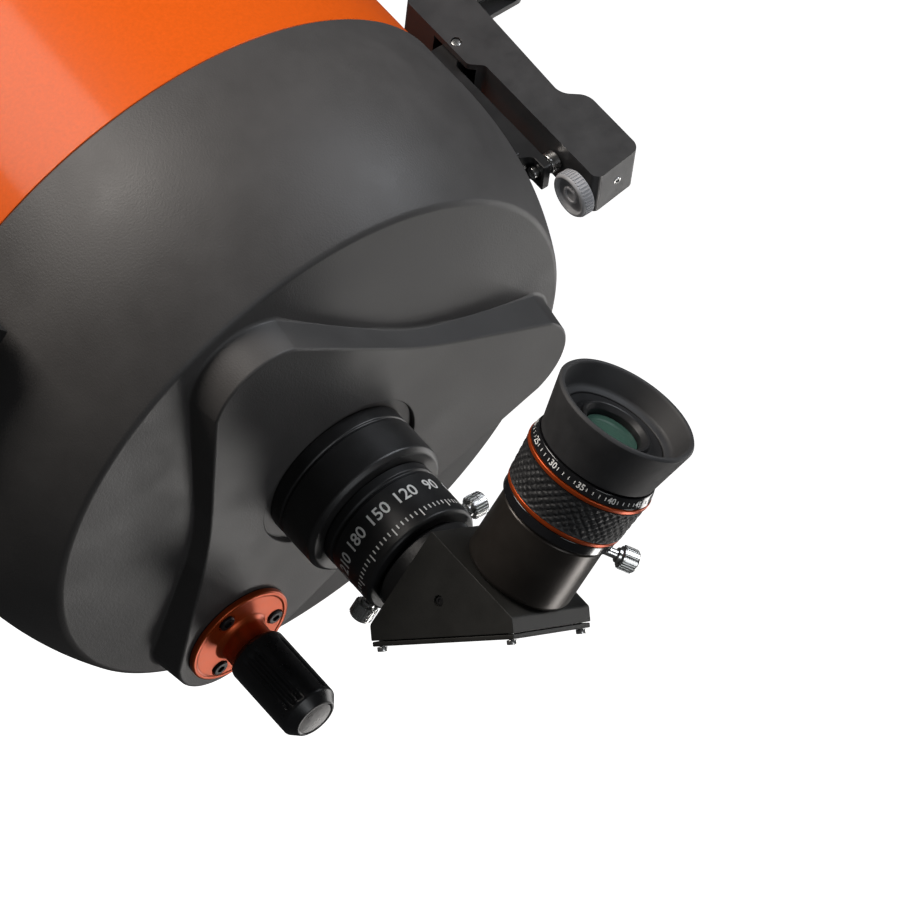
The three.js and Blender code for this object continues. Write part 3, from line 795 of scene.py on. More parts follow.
@dataclass
class OpticalTube:
    """The painted tube, the front cell and the corrector plate with the secondary mirror on it."""

    tube_radius: float = 116.0
    tube_wall: float = 2.0
    tube_start: float = -76.8
    tube_end: float = -349.7
    cell_radius: float = 117.0
    cell_start: float = -350.0
    front: float = -398.0
    corrector: float = -371.0
    corrector_radius: float = 105.0
    holder_radius: float = 34.0
    screw_circle: float = 14.0
    ring_screws: int = 8

    def tube(self) -> bmesh.types.BMesh:
        """Returns the rolled tube."""
        outer = self.tube_radius
        inner = outer - self.tube_wall
        return turned([
            (inner, self.tube_start), (outer, self.tube_start, 0.4), (outer, self.tube_end, 0.4),
            (inner, self.tube_end),
        ], 256, 3)

    def front_cell(self) -> bmesh.types.BMesh:
        """Returns the front cell with its mouth flared outside the corrector's seat."""
        radius = self.cell_radius
        return turned([
            (108, self.cell_start + 10), (113.6, self.cell_start + 10), (113.6, self.cell_start),
            (radius, self.cell_start, 0.6), (radius, -362, 0.3), (radius - 0.8, -363, 0.3),
            (radius - 0.8, -365, 0.3), (radius, -366, 0.3), (radius, -394, 1.5),
            (radius - 2.4, self.front, 1.4), (111.2, self.front, 0.8), (108, -377, 0.3), (105.6, -377),
            (105.6, -370.7), (101.6, -370.7), (101.6, -366, 0.4),
        ], 256, 4)

    def retaining_ring(self) -> bmesh.types.BMesh:
        """Returns the ring that holds the corrector, with its screws' heads."""
        ring = turned([
            (101.6, -376.3, 0.2), (105.2, -376.3), (105.2, -377.4), (107.6, -377.4), (107.6, -379, 0.3),
            (104.6, -379.2, 0.2), (101.6, -377.4, 0.4),
        ], 256, 3)
        head = turned([(0, -379.9), (1.5, -379.9, 0.4), (1.5, -378.6), (0, -378.6)], 20)
        bmesh.ops.translate(head, verts=head.verts[:], vec=(106, 0, 0.6))
        return gathered([ring, around(head, self.ring_screws)])

    def holder(self) -> bmesh.types.BMesh:
        """Returns the secondary's holder with three screw wells."""
        radius = self.holder_radius
        front = turned([
            (0, -362), (24, -362), (24, -379.7), (27.9, -379.7), (27.9, -376.3), (radius, -376.3, 0.3),
            (radius, -383, 1.2), (31, -386, 1.2), (20, -386, 0.3), (19.4, -385.2, 0.3), (0, -385.2),
        ], 96, 4)
        wells = [
            moved(rod(3.5, -392, -383.6, 28), self.screw_place(i))
            for i in range(3)
        ]
        return carved(front, wells)

    def screw_place(self, number: int) -> Matrix:
        """Returns the shift to one collimation screw."""
        return on_circle(self.screw_circle, 90 + 120 * number)

    def collimation_screw(self, number: int) -> bmesh.types.BMesh:
        """Returns one collimation screw with a crossed slot."""
        screw = turned([
            (0, -388.6), (1.8, -388.6, 0.4), (3.1, -387.6, 0.5), (3.1, -386.3, 0.2), (1.5, -386.3),
            (1.5, -372), (0, -372),
        ], 36, 3)
        for x, y in ((2.2, 0.35), (0.35, 2.2)):
            screw = carved(screw, [block((-x, -y, -390), (x, y, -387.6), 0)])
        return moved(screw, self.screw_place(number))

    def build(self) -> None:
        """Makes the tube's pieces and sets them down."""
        set_down("optical_tube_shell", self.tube(), OPTICS, TUBE_ORANGE, "optical_tube")
        set_down("front_cell_casting", self.front_cell(), OPTICS, CAST_GREY, "front_cell", sharp=40)
        set_down("corrector_ring", self.retaining_ring(), OPTICS, BLACK_ANODISED, "corrector_retaining_ring")
        glass = turned([
            (28.3, self.corrector, 0.3), (28.3, -375.9, 0.3), (60, -375.7), (90, -375.8),
            (self.corrector_radius, -376, 0.4), (self.corrector_radius, self.corrector, 0.4),
        ], 192, 3)
        set_down("corrector_glass", glass, OPTICS, CLEAR_GLASS, "corrector_plate")
        set_down("secondary_cap", self.holder(), OPTICS, BLACK_PLASTIC, "secondary_holder")
        clamp = turned([
            (28.3, -362, 0.3), (self.holder_radius, -362, 0.5), (self.holder_radius, -370.7, 0.3),
            (28.3, -370.7),
        ], 96, 3)
        set_down("secondary_clamp", clamp, OPTICS, BLACK_PLASTIC, "secondary_clamp_ring")
        mirror = turned([
            (0, -361.7), (9, -361.5), (18, -360.8), (27, -359.6, 0.2), (27, -361.6), (23.4, -361.9),
            (23.4, -367.7, 0.4), (0, -367.7),
        ], 128, 3)
        set_down("secondary_glass", mirror, OPTICS, SILVERING, "secondary_mirror")
        baffle = turned([
            (28.3, -361.7), (self.holder_radius, -361.7, 0.3), (self.holder_radius, -358, 0.6),
            (36.5, -335, 0.3), (35.7, -335, 0.3), (33, -357, 0.5), (28.3, -358.6),
        ], 128, 3)
        set_down("secondary_baffle_cup", baffle, OPTICS, MATT_BLACK, "secondary_baffle")
        for number in range(3):
            screw = self.collimation_screw(number)
            set_down(f"collimation_screw_{number + 1}_head", screw, OPTICS, BARE_STEEL,
                     f"collimation_screw_{number + 1}")


@dataclass
class InnerOptics:
    """The baffle tube and the primary mirror that slides along it."""

    baffle_radius: float = 20.4
    mirror_radius: float = 101.5
    mirror_hole: float = 26.9
    sag_rate: float = 0.00062
    focus_drop: float = 71.0

    def baffle(self) -> bmesh.types.BMesh:
        """Returns the baffle tube with its foot flange and inner ribs."""
        ribs: list[Corner] = []
        for i in range(12):
            height = -192 + 14 * i
            ribs += [(19, height - 1.2), (18.7, height), (19, height + 1.2)]
        return turned([
            (19, 3.7), (34, 3.7, 0.4), (34, -0.5, 0.4), (22, -0.5, 0.6), (22, -96, 0.3), (20.4, -98, 0.3),
            (self.baffle_radius, -200, 0.3), (19, -200), *ribs,
        ], 96, 3)

    def mirror(self) -> bmesh.types.BMesh:
        """Returns the primary mirror with its hollow front and tapered back."""
        front = []
        stations = 16
        for i in range(stations + 1):
            radius = self.mirror_hole + (self.mirror_radius - 0.5 - self.mirror_hole) * i / stations
            front.append((radius, -(62 - 6.2 + self.sag_rate * (radius ** 2 - self.mirror_hole ** 2))))
        return turned([
            *front, (self.mirror_radius, -61.4), (self.mirror_radius, -49.4, 0.6), (60, -43.4, 3),
            (self.mirror_hole, -43.4, 0.4),
        ], 192, 4)

    def carrier(self) -> bmesh.types.BMesh:
        """Returns the carrier disc and its sleeve, bored for the focus nut."""
        disc = turned([
            (22.5, -30, 0.3), (26.5, -30, 0.3), (26.5, -36, 0.8), (85, -38, 0.6), (85, -43, 0.6),
            (26.5, -43), (26.5, -72, 0.3), (22.5, -72, 0.3),
        ], 128, 3)
        bore = rod(8.3, -48, -30, 48)
        bmesh.ops.translate(bore, verts=bore.verts[:], vec=(0, -self.focus_drop, 0))
        return carved(disc, [bore])

    def build(self) -> None:
        """Makes the mirror's pieces and sets them down."""
        set_down("baffle_tube_body", self.baffle(), OPTICS, MATT_BLACK, "baffle_tube")
        set_down("primary_glass", self.mirror(), OPTICS, SILVERING, "primary_mirror")
        set_down("mirror_carrier_disc", self.carrier(), OPTICS, MACHINED, "mirror_carrier")
        lock = turned([
            (26.8, -57.2, 0.2), (33, -57.2, 0.4), (33, -60.8, 0.5), (32.2, -61.5, 0.3), (26.8, -61.5, 0.2),
        ], 96, 3)
        set_down("mirror_lock", lock, OPTICS, BLACK_ANODISED, "mirror_lock_ring")


@dataclass
class Focuser:
    """The focus knob, its screw and nut, and the orange flange that holds the bearing."""

    drop: float = 71.0
    flange_radius: float = 19.8
    flange_seat: float = 14.8
    flange_face: float = 17.0
    screw_circle: float = 14.4
    knob_radius: float = 10.5
    knob_start: float = 25.0
    knob_end: float = 57.5
    flute_depth: float = 0.75
    flute_group: float = 158.0

    def bench(self) -> Bench:
        """Returns the bench on the focus screw's axis."""
        return OPTICS.shifted((0, -self.drop, 0), Vector((0, -1, 0)), Vector((1, 0, 0)))

    def screw_place(self, number: int) -> Matrix:
        """Returns the shift to one of the flange's screws."""
        return on_circle(self.screw_circle, 30 + 120 * number)

    def flange(self) -> bmesh.types.BMesh:
        """Returns the flange with its raised hub and three screw wells."""
        face = self.flange_face
        body = turned([
            (4.4, self.flange_seat), (self.flange_radius, self.flange_seat, 0.3),
            (self.flange_radius, face, 0.7), (self.flange_radius - 1.6, face, 0.3),
            (self.flange_radius - 2.0, face - 0.35, 0.3), (9.9, face - 0.35, 0.6), (8.6, face + 1.4, 0.5),
            (8.6, 24.5, 0.5), (4.4, 24.5),
        ], 160, 5)
        wells = [
            moved(rod(3.3, face - 1.1, face + 3, 40),
                  self.screw_place(i))
            for i in range(3)
        ]
        return carved(body, wells)

    def flute(self, angle: float) -> float:
        """Returns how deep the knob's flutes are at an angle, from 0 to 1."""
        quarter = math.tau / 4
        turn = (angle - math.radians(self.flute_group) + quarter / 2) % quarter - quarter / 2
        deepest = 0.0
        for centre in (-15, 0, 15):
            away = abs(math.degrees(turn) - centre) / 5.2
            if away < 1:
                deepest = max(deepest, math.cos(away * math.pi / 2) ** 0.8)
        return deepest

    def knob(self) -> bmesh.types.BMesh:
        """Returns the knob with groups of long flutes and a bevelled end."""
        radius = self.knob_radius
        end = self.knob_end
        side = [(radius, self.knob_start + 2 + i * 0.8) for i in range(33)]
        mesh = turned([
            (4.3, self.knob_start, 0.3), (radius - 0.6, self.knob_start, 0.4),
            (radius, self.knob_start + 1.1, 0.4), *side, (radius, end - 3.6, 0.5), (radius - 2.9, end, 0.5),
            (radius - 3.6, end, 0.2), (radius - 3.9, end - 0.35, 0.2), (0, end - 0.35), (0, 51.4),
            (4.3, 51.4),
        ], 360, 4)
        first, last = self.knob_start + 3.5, end - 4.4
        for vert in mesh.verts:
            reach = vert.co.xy.length
            if reach < radius - 0.4:
                continue
            rise = min(1.0, max(0.0, (vert.co.z - first) / 2))
            fall = min(1.0, max(0.0, (last - vert.co.z) / 1.6))
            run = rise * fall
            sink = self.flute_depth * run * self.flute(math.atan2(vert.co.y, vert.co.x))
            vert.co.xy *= (reach - sink) / reach
        return mesh

    def build(self) -> None:
        """Makes the focuser's pieces and sets them down."""
        bench = self.bench()
        set_down("focus_flange_disc", self.flange(), bench, ORANGE_ANODISED, "focus_flange")
        for number in range(3):
            head = moved(socket_screw(2.8, 1.5, 1.4, 6), Matrix.Translation((0, 0, self.flange_face - 0.9)))
            set_down(f"focus_flange_screw_{number + 1}_head", moved(head, self.screw_place(number)), bench,
                     BLACK_ANODISED, f"focus_flange_screw_{number + 1}")
        bearing = turned([(4.4, -2, 0.2), (9, -2, 0.4), (9, 12, 0.4), (4.4, 12, 0.2)], 64, 3)
        set_down("focus_bearing_ring", bearing, bench, BARE_STEEL, "focus_bearing")
        thread = []
        for i in range(30):
            thread += [(4, -26 + i), (3.6, -25.5 + i)]
        shaft = turned([(0, -26.6), (3.6, -26.6), *thread, (4, 5), (4, 51, 0.3), (0, 51)], 48, 2)
        set_down("focus_screw_shaft", shaft, bench, BARE_STEEL, "focus_screw")
        nut = turned([(0, -42.7), (8, -42.7, 0.5), (8, -14, 0.5), (0, -14)], 6, 3)
        nut = carved(nut, [rod(4.4, -44, -12, 64)])
        set_down("focus_nut_body", nut, bench, BRASS, "focus_nut", sharp=25)
        set_down("focus_knob_grip", self.knob(), bench, KNOB_BLACK, "focus_knob", sharp=38)


@dataclass
class VisualBack:
    """The threaded port ring and the visual back with its printed scale and thumbscrews."""

    port_radius: float = 27.0
    port_back: float = 34.0
    radius: float = 21.8
    back: float = 58.0
    screw_height: float = 50.0
    screw_seat: float = 25.6
    scale_steps: int = 72
    print_height: float = 0.07

    def port(self) -> bmesh.types.BMesh:
        """Returns the port ring with a step near its front and a bevelled back."""
        radius = self.port_radius
        back = self.port_back
        return turned([
            (20.4, 6), (22, 6), (22, 12.8), (radius, 12.8, 0.3), (radius, 17.6, 0.25),
            (radius - 0.5, 18, 0.2), (radius - 0.5, 18.6, 0.2), (radius, 19, 0.25), (radius, back - 1.6, 0.5),
            (radius - 1.6, back, 0.5), (20.4, back, 0.3),
        ], 192, 4)

    def body(self) -> bmesh.types.BMesh:
        """Returns the visual back: a collar, a shallow groove and the printed band."""
        radius = self.radius
        back = self.back
        body = turned([
            (16.15, 20), (20, 20), (20, 34.3), (radius, 34.3, 0.4), (radius, 37.4, 0.3),
            (radius - 0.7, 37.9, 0.2), (radius - 0.7, 38.7, 0.2), (radius, 39.2, 0.3),
            (radius, back - 0.9, 0.5), (radius - 0.9, back, 0.4), (17.2, back, 0.4), (16.15, back - 1, 0.2),
        ], 192, 4)
        bores = []
        for heading in self.headings():
            bore = rod(2.1, 14, 30, 32)
            bores.append(moved(bore, pointed(heading, (0, 0, self.screw_height))))
        return carved(body, bores)

    def headings(self) -> list[Vector]:
        """Returns the directions of the two thumbscrews."""
        return [Vector((math.cos(math.radians(a)), math.sin(math.radians(a)), 0)) for a in (-90, 30)]

    def scale(self) -> bmesh.types.BMesh:
        """Returns the printed scale: a tick for each step, and numerals between."""
        marks = []
        for i in range(self.scale_steps):
            heading = math.tau * i / self.scale_steps
            half = 1.5 if i % 6 == 0 else 0.8
            tick = block((-0.22, -half, -0.1), (0.22, half, self.print_height), 0)
            marks.append(wrapped(tick, self.radius, 52.4 + half, heading, -1))
            if i % 6 == 0:
                number = lettering(str(i * 360 // self.scale_steps), 6.2, self.print_height)
                marks.append(wrapped(number, self.radius, 45.2, heading, -1))
        return gathered(marks)

    def build(self) -> None:
        """Makes the port's pieces and sets them down."""
        set_down("port_ring", self.port(), OPTICS, PORT_GREY, "rear_port_ring")
        set_down("visual_back_collar", self.body(), OPTICS, BLACK_ANODISED, "visual_back_body")
        set_down("visual_back_scale", self.scale(), OPTICS, PRINT_WHITE, "visual_back_body", stands_in=False)
        for number, heading in enumerate(self.headings(), 1):
            seat = heading * self.screw_seat + Vector((0, 0, self.screw_height))
            screw = moved(thumbscrew_mesh(), pointed(heading, seat))
            set_down(f"visual_back_thumbscrew_{number}_head", screw, OPTICS, BARE_STEEL,
                     f"visual_back_thumbscrew_{number}")


@dataclass
class StarDiagonal:
    """The right-angle mirror housing with its nosepiece, its cover plate and its eyepiece tube."""

    width: float = 41.4
    near: float = -65.8
    far: float = -107.0
    top: float = 22.3
    bottom: float = -18.5
    wall: float = 3.2
    plate_thickness: float = 1.6
    plate_length: float = 57.6
    plate_centre: tuple[float, float] = (-91.4, -3.1)
    tube_radius: float = 18.9
    tube_top: float = 48.0
    screw_height: float = 43.5
    screw_seat: float = 25.6
    screw_angle: float = 0.7
    side_screw: tuple[float, float] = (-81.9, 6.6)

    def housing(self) -> bmesh.types.BMesh:
        """Returns the hollow housing with softened edges, on the sideways bench."""
        half = self.width / 2
        shape = plate([
            (self.near, self.top, 0.6), (self.near, self.bottom, 0.8), (-69.55, -22.25, 0.3),
            (-110.55, 18.75, 0.3), (self.far, self.top, 0.6),
        ], -half, half, 0.55)
        room = plate([
            (-69.8, 18.3), (-69.8, -16.8), (-73.4, -20.8), (-108.6, 14.4), (-104.4, 18.3),
        ], self.wall - half, half - self.wall, 0)
        inlet = moved(rod(14.2, 60, 75, 64), self.along_tube())
        outlet = moved(rod(15.8, 10, 25, 64), self.along_eyepiece())
        well = moved(rod(1.9, -5, 1.4, 36), self.side_place())
        for tool in (room, inlet, outlet, well):
            shape = carved(shape, [tool])
        return shape

    def along_tube(self) -> Matrix:
        """Returns the turn from rearward heights to the sideways bench."""
        return pointed(Vector((-1, 0, 0)), (0, 0, 0))

    def along_eyepiece(self) -> Matrix:
        """Returns the turn from eyepiece heights to the sideways bench."""
        return pointed(Vector((0, 1, 0)), (-EYEPIECE_BACK, 0, 0))

    def side_place(self) -> Matrix:
        """Returns the shift to the side screw, on the sideways bench."""
        return Matrix.Translation((*self.side_screw, -self.width / 2))

    def plate_bench(self) -> Bench:
        """Returns the bench on the cover plate's outer face, with Z into the housing."""
        slope = Vector((0, 1, 1)).normalized()
        return SIDEWAYS.shifted((*self.plate_centre, 0), slope, Vector((1, 0, 0)))

    def plate_screws(self) -> list[Vector]:
        """Returns the places of the cover plate's four screws."""
        reach = self.plate_length / 2 - 2.4
        side = self.width / 2 - 2.3
        return [Vector((x, y, 0)) for y in (reach, -reach) for x in (-side, side)]

    def cover(self) -> bmesh.types.BMesh:
        """Returns the cover plate with four holes."""
        half = self.width / 2 - 0.2
        reach = self.plate_length / 2
        cover = block((-half, -reach, 0), (half, reach, self.plate_thickness), 0.35)
        for place in self.plate_screws():
            hole = rod(1.15, -3, 4, 24)
            cover = carved(cover, [moved(hole, Matrix.Translation(place))])
        return cover

    def eyepiece_tube(self) -> bmesh.types.BMesh:
        """Returns the eyepiece tube with its bevelled foot and softened mouth."""
        radius = self.tube_radius
        foot = self.top + 0.3
        tube = turned([
            (13.6, 19), (15.5, 19), (15.5, foot), (radius - 1.7, foot, 0.2), (radius, foot + 1.7, 0.9),
            (radius, self.tube_top - 0.6, 0.4), (radius - 0.6, self.tube_top, 0.3),
            (16.6, self.tube_top, 0.3), (16.15, self.tube_top - 0.6, 0.2), (16.15, 24), (13.6, 24),
        ], 160, 5)
        bore = rod(2.1, 14, 30, 32)
        return carved(tube, [moved(bore, pointed(self.heading(), (0, 0, self.screw_height)))])

    def heading(self) -> Vector:
        """Returns the thumbscrew's direction on the upright bench."""
        return Vector((math.cos(self.screw_angle), -math.sin(self.screw_angle), 0))

    def nosepiece(self) -> bmesh.types.BMesh:
        """Returns the nosepiece with its safety groove and shoulder."""
        return turned([
            (12.9, 38, 0.3), (15.35, 38, 0.2), (15.85, 38.5, 0.3), (15.85, 44), (15.3, 44.6), (15.3, 50.4),
            (15.85, 51), (15.85, 59.5), (18.6, 59.5, 0.5), (18.6, 65.5, 0.4), (13.9, 65.5), (13.9, 68.5),
            (12.9, 68.5),
        ], 128, 4)

    def build(self) -> None:
        """Makes the diagonal's pieces and sets them down."""
        set_down("diagonal_nose", self.nosepiece(), OPTICS, BLACK_ANODISED, "diagonal_nosepiece")
        set_down("diagonal_shell", self.housing(), SIDEWAYS, DIAGONAL_BLACK, "diagonal_housing")
        side = socket_screw(1.6, 0.5, 0.9, 0.1)
        screw = moved(moved(side, Matrix.Diagonal((1, 1, -1, 1))), Matrix.Translation((0, 0, 1.1)))
        bmesh.ops.recalc_face_normals(screw, faces=screw.faces[:])
        set_down("diagonal_side_screw_head", moved(screw, self.side_place()), SIDEWAYS, BLACK_ANODISED,
                 "diagonal_side_screw")
        bench = self.plate_bench()
        set_down("diagonal_cover", self.cover(), bench, DIAGONAL_BLACK, "diagonal_mirror_plate")
        mirror = block((-13.6, -20, 1.9), (13.6, 20, 3.5), 0.25)
        set_down("diagonal_mirror_glass", mirror, bench, SILVERING, "diagonal_mirror")
        for number, place in enumerate(self.plate_screws(), 1):
            head = moved(socket_screw(1.7, 1.5, 0.9, 6), Matrix.Rotation(math.pi, 4, "X"))
            head = moved(head, Matrix.Translation(place + Vector((0, 0, -0.3))))
            set_down(f"diagonal_cover_screw_{number}", head, bench, BARE_STEEL,
                     f"diagonal_plate_screw_{number}")
        set_down("diagonal_tube", self.eyepiece_tube(), UPRIGHT, TUBE_BLACK, "diagonal_eyepiece_tube")
        heading = self.heading()
        seat = heading * self.screw_seat + Vector((0, 0, self.screw_height))
        screw = moved(thumbscrew_mesh(), pointed(heading, seat))
        set_down("diagonal_thumbscrew_head", screw, UPRIGHT, BARE_STEEL, "diagonal_thumbscrew")


@dataclass
class Eyepiece:
    """The eyepiece with its rubber grip, its orange rings and its flared eyecup."""

    barrel_radius: float = 15.85
    grip_start: float = 54.9
    grip_end: float = 68.2
    grip_low: float = 21.2
    grip_high: float = 22.3
    knurls: int = 44
    knurl_depth: float = 0.55
    band_radius: float = 21.95
    band_height: float = 72.3
    band_lean: float = 0.18
    print_height: float = 0.05

    def barrel(self) -> bmesh.types.BMesh:
        """Returns the chromed barrel with its safety undercut."""
        radius = self.barrel_radius
        return turned([
            (13.6, 26, 0.3), (radius - 0.4, 26, 0.2), (radius, 26.5, 0.3), (radius, 34), (radius - 0.6, 34.8),
            (radius - 0.6, 41.6), (radius, 42.4), (radius, 48.2), (13.6, 48.2),
        ], 128, 4)

    def body(self) -> bmesh.types.BMesh:
        """Returns the body: a foot flange, a hidden core and the printed band."""
        return turned([
            (13.4, 48.5), (19.6, 48.5, 0.3), (20.5, 49.4, 0.3), (20.5, 52.7, 0.3), (16.8, 52.7), (16.8, 70.4),
            (22.3, 70.4, 0.2), (21.5, 74.2, 0.3), (16.8, 74.2), (16.8, 75.6), (13.4, 75.6),
        ], 160, 4)

    def grip(self) -> bmesh.types.BMesh:
        """Returns the grip: a flared sleeve knurled in diamonds."""
        span = self.grip_end - self.grip_start
        rows = 44
        side = []
        for i in range(rows + 1):
            share = i / rows
            radius = self.grip_low + (self.grip_high - self.grip_low) * share
            side.append((radius, self.grip_start + span * share))
        mesh = turned([(17.1, self.grip_start), *side, (17.1, self.grip_end)], 352)
        for vert in mesh.verts:
            reach = vert.co.xy.length
            if reach < self.grip_low - 0.1:
                continue
            share = (vert.co.z - self.grip_start) / span
            around_phase = self.knurls / 2 * math.atan2(vert.co.y, vert.co.x)
            along_phase = math.pi * 4.5 * share
            ridge = abs(math.sin(around_phase + along_phase)) * abs(math.sin(around_phase - along_phase))
            edge = min(1.0, 12 * share, 12 * (1 - share))
            sink = self.knurl_depth * (1 - ridge ** 0.7) * edge
            vert.co.xy *= (reach - sink) / reach
        return mesh

    def eyecup(self) -> bmesh.types.BMesh:
        """Returns the eyecup: a straight flare to a thick rounded lip."""
        return turned([
            (18.2, 74.6), (21, 74.6, 0.5), (24.5, 91.2, 1.5), (24.85, 92.9, 0.9), (23.9, 93.9, 0.8),
            (22.9, 93.4, 0.8), (20.6, 85.6, 1.0), (18.2, 84.9, 0.4),
        ], 192, 6)

    def top(self) -> bmesh.types.BMesh:
        """Returns the eye end: a shallow dish and the raised ring round the lens."""
        return turned([
            (9.9, 75.9), (17.9, 75.9), (17.9, 84.6, 0.3), (14.6, 84.3, 0.4), (13.6, 85, 0.3),
            (12.7, 85.2, 0.3), (12.3, 86.6, 0.35), (11.4, 86.6, 0.4), (9.9, 84.9, 0.3),
        ], 128, 4)

    def markings(self) -> bmesh.types.BMesh:
        """Returns the printed ring of ticks and numerals."""
        marks = []
        count = 60
        for i in range(count):
            heading = math.tau * i / count
            if i % 5 == 0:
                mark = lettering(str(i), 2.9, self.print_height)
            else:
                mark = block((-0.14, -0.55, -0.1), (0.14, 0.55, self.print_height), 0)
            mark = wrapped(mark, self.band_radius, self.band_height, heading, 1)
            marks.append(leaned(mark, self.band_height, self.band_lean))
        return gathered(marks)

    def build(self) -> None:
        """Makes the eyepiece's pieces and sets them down."""
        set_down("eyepiece_chromed_barrel", self.barrel(), UPRIGHT, POLISHED, "eyepiece_barrel")
        set_down("eyepiece_core", self.body(), UPRIGHT, GLOSS_BLACK, "eyepiece_body")
        set_down("eyepiece_markings", self.markings(), UPRIGHT, PRINT_WHITE, "eyepiece_body", stands_in=False)
        low = turned([(17.1, 53), (20.9, 53, 0.35), (21.1, 54.6, 0.35), (17.1, 54.6)], 160, 4)
        set_down("eyepiece_lower_band", low, UPRIGHT, ORANGE_ANODISED, "eyepiece_ring_lower")
        set_down("eyepiece_rubber_grip", self.grip(), UPRIGHT, GRIP_RUBBER, "eyepiece_grip", sharp=60)
        high = turned([(17.1, 68.5), (22.5, 68.5, 0.35), (22.6, 70.1, 0.35), (17.1, 70.1)], 160, 4)
        set_down("eyepiece_upper_band", high, UPRIGHT, ORANGE_ANODISED, "eyepiece_ring_upper")
        set_down("eyepiece_eye_end", self.top(), UPRIGHT, BLACK_ANODISED, "eyepiece_top")
        set_down("eyepiece_eyecup", self.eyecup(), UPRIGHT, RUBBER, "eyecup", sharp=50)
        eye = turned([
            (0, 80.5), (9.6, 80.5, 0.3), (9.6, 83, 0.3), (7.4, 83.55), (5, 83.95), (2.5, 84.2), (0, 84.3),
        ], 96, 3)
        set_down("eyepiece_eye_lens", eye, UPRIGHT, LENS_GLASS, "eye_lens")
        field = turned([(0, 30), (7, 30.4), (13.2, 31.4, 0.3), (13.2, 34, 0.3), (0, 34)], 96, 3)
        set_down("eyepiece_field_lens", field, UPRIGHT, CLEAR_GLASS, "field_lens")


@dataclass
class Dovetail:
    """The dovetail bar with a screw and a saddle block at each cell."""

    face: float = 137.0
    inner: float = 122.0
    half_width: float = 22.0
    flank: float = 4.02
    start: float = 46.0
    end: float = 388.0
    screws: tuple[float, float] = (70.0, 370.0)
    cell_clearance: float = 117.3

    def bar(self) -> bmesh.types.BMesh:
        """Returns the bar with counterbored screw holes, on the forward bench."""
        half = self.half_width
        bar = plate([
            (-self.face, -half, 0.5), (-self.inner, -half + self.flank, 0.5),
            (-self.inner, half - self.flank, 0.5), (-self.face, half, 0.5),
        ], self.start, self.end, 0.6)
        for forward in self.screws:
            for radius, depth in ((6.5, 7.3), (3.5, 20)):
                hole = rod(radius, -2, depth, 48)
                bar = carved(bar, [moved(hole, pointed(Vector((1, 0, 0)), (-self.face, 0, forward)))])
        return bar

    def saddle(self, forward: float) -> bmesh.types.BMesh:
        """Returns a saddle block hollowed to sit on the cell."""
        block_mesh = block((-self.inner + 0.3, -15, forward - 9), (-112, 15, forward + 9), 0.6)
        cell = rod(self.cell_clearance, forward - 20, forward + 20, 256)
        hole = rod(3.5, 10, 30, 32)
        hole = moved(hole, pointed(Vector((1, 0, 0)), (-self.face, 0, forward)))
        return carved(carved(block_mesh, [cell]), [hole])

    def build(self) -> None:
        """Makes the dovetail's pieces and sets them down."""
        set_down("dovetail_rail", self.bar(), FORWARD, BLACK_ANODISED, "dovetail_bar")
        for end, forward in zip(("rear", "front"), self.screws):
            set_down(f"saddle_block_{end}", self.saddle(forward), FORWARD, BLACK_ANODISED,
                     f"dovetail_saddle_{end}")
            seat = pointed(Vector((-1, 0, 0)), (7 - self.face, 0, forward))
            screw = moved(socket_screw(6, 5.5, 3, 15.5), seat)
            set_down(f"dovetail_cap_screw_{end}", screw, FORWARD, BARE_STEEL, f"dovetail_screw_{end}")


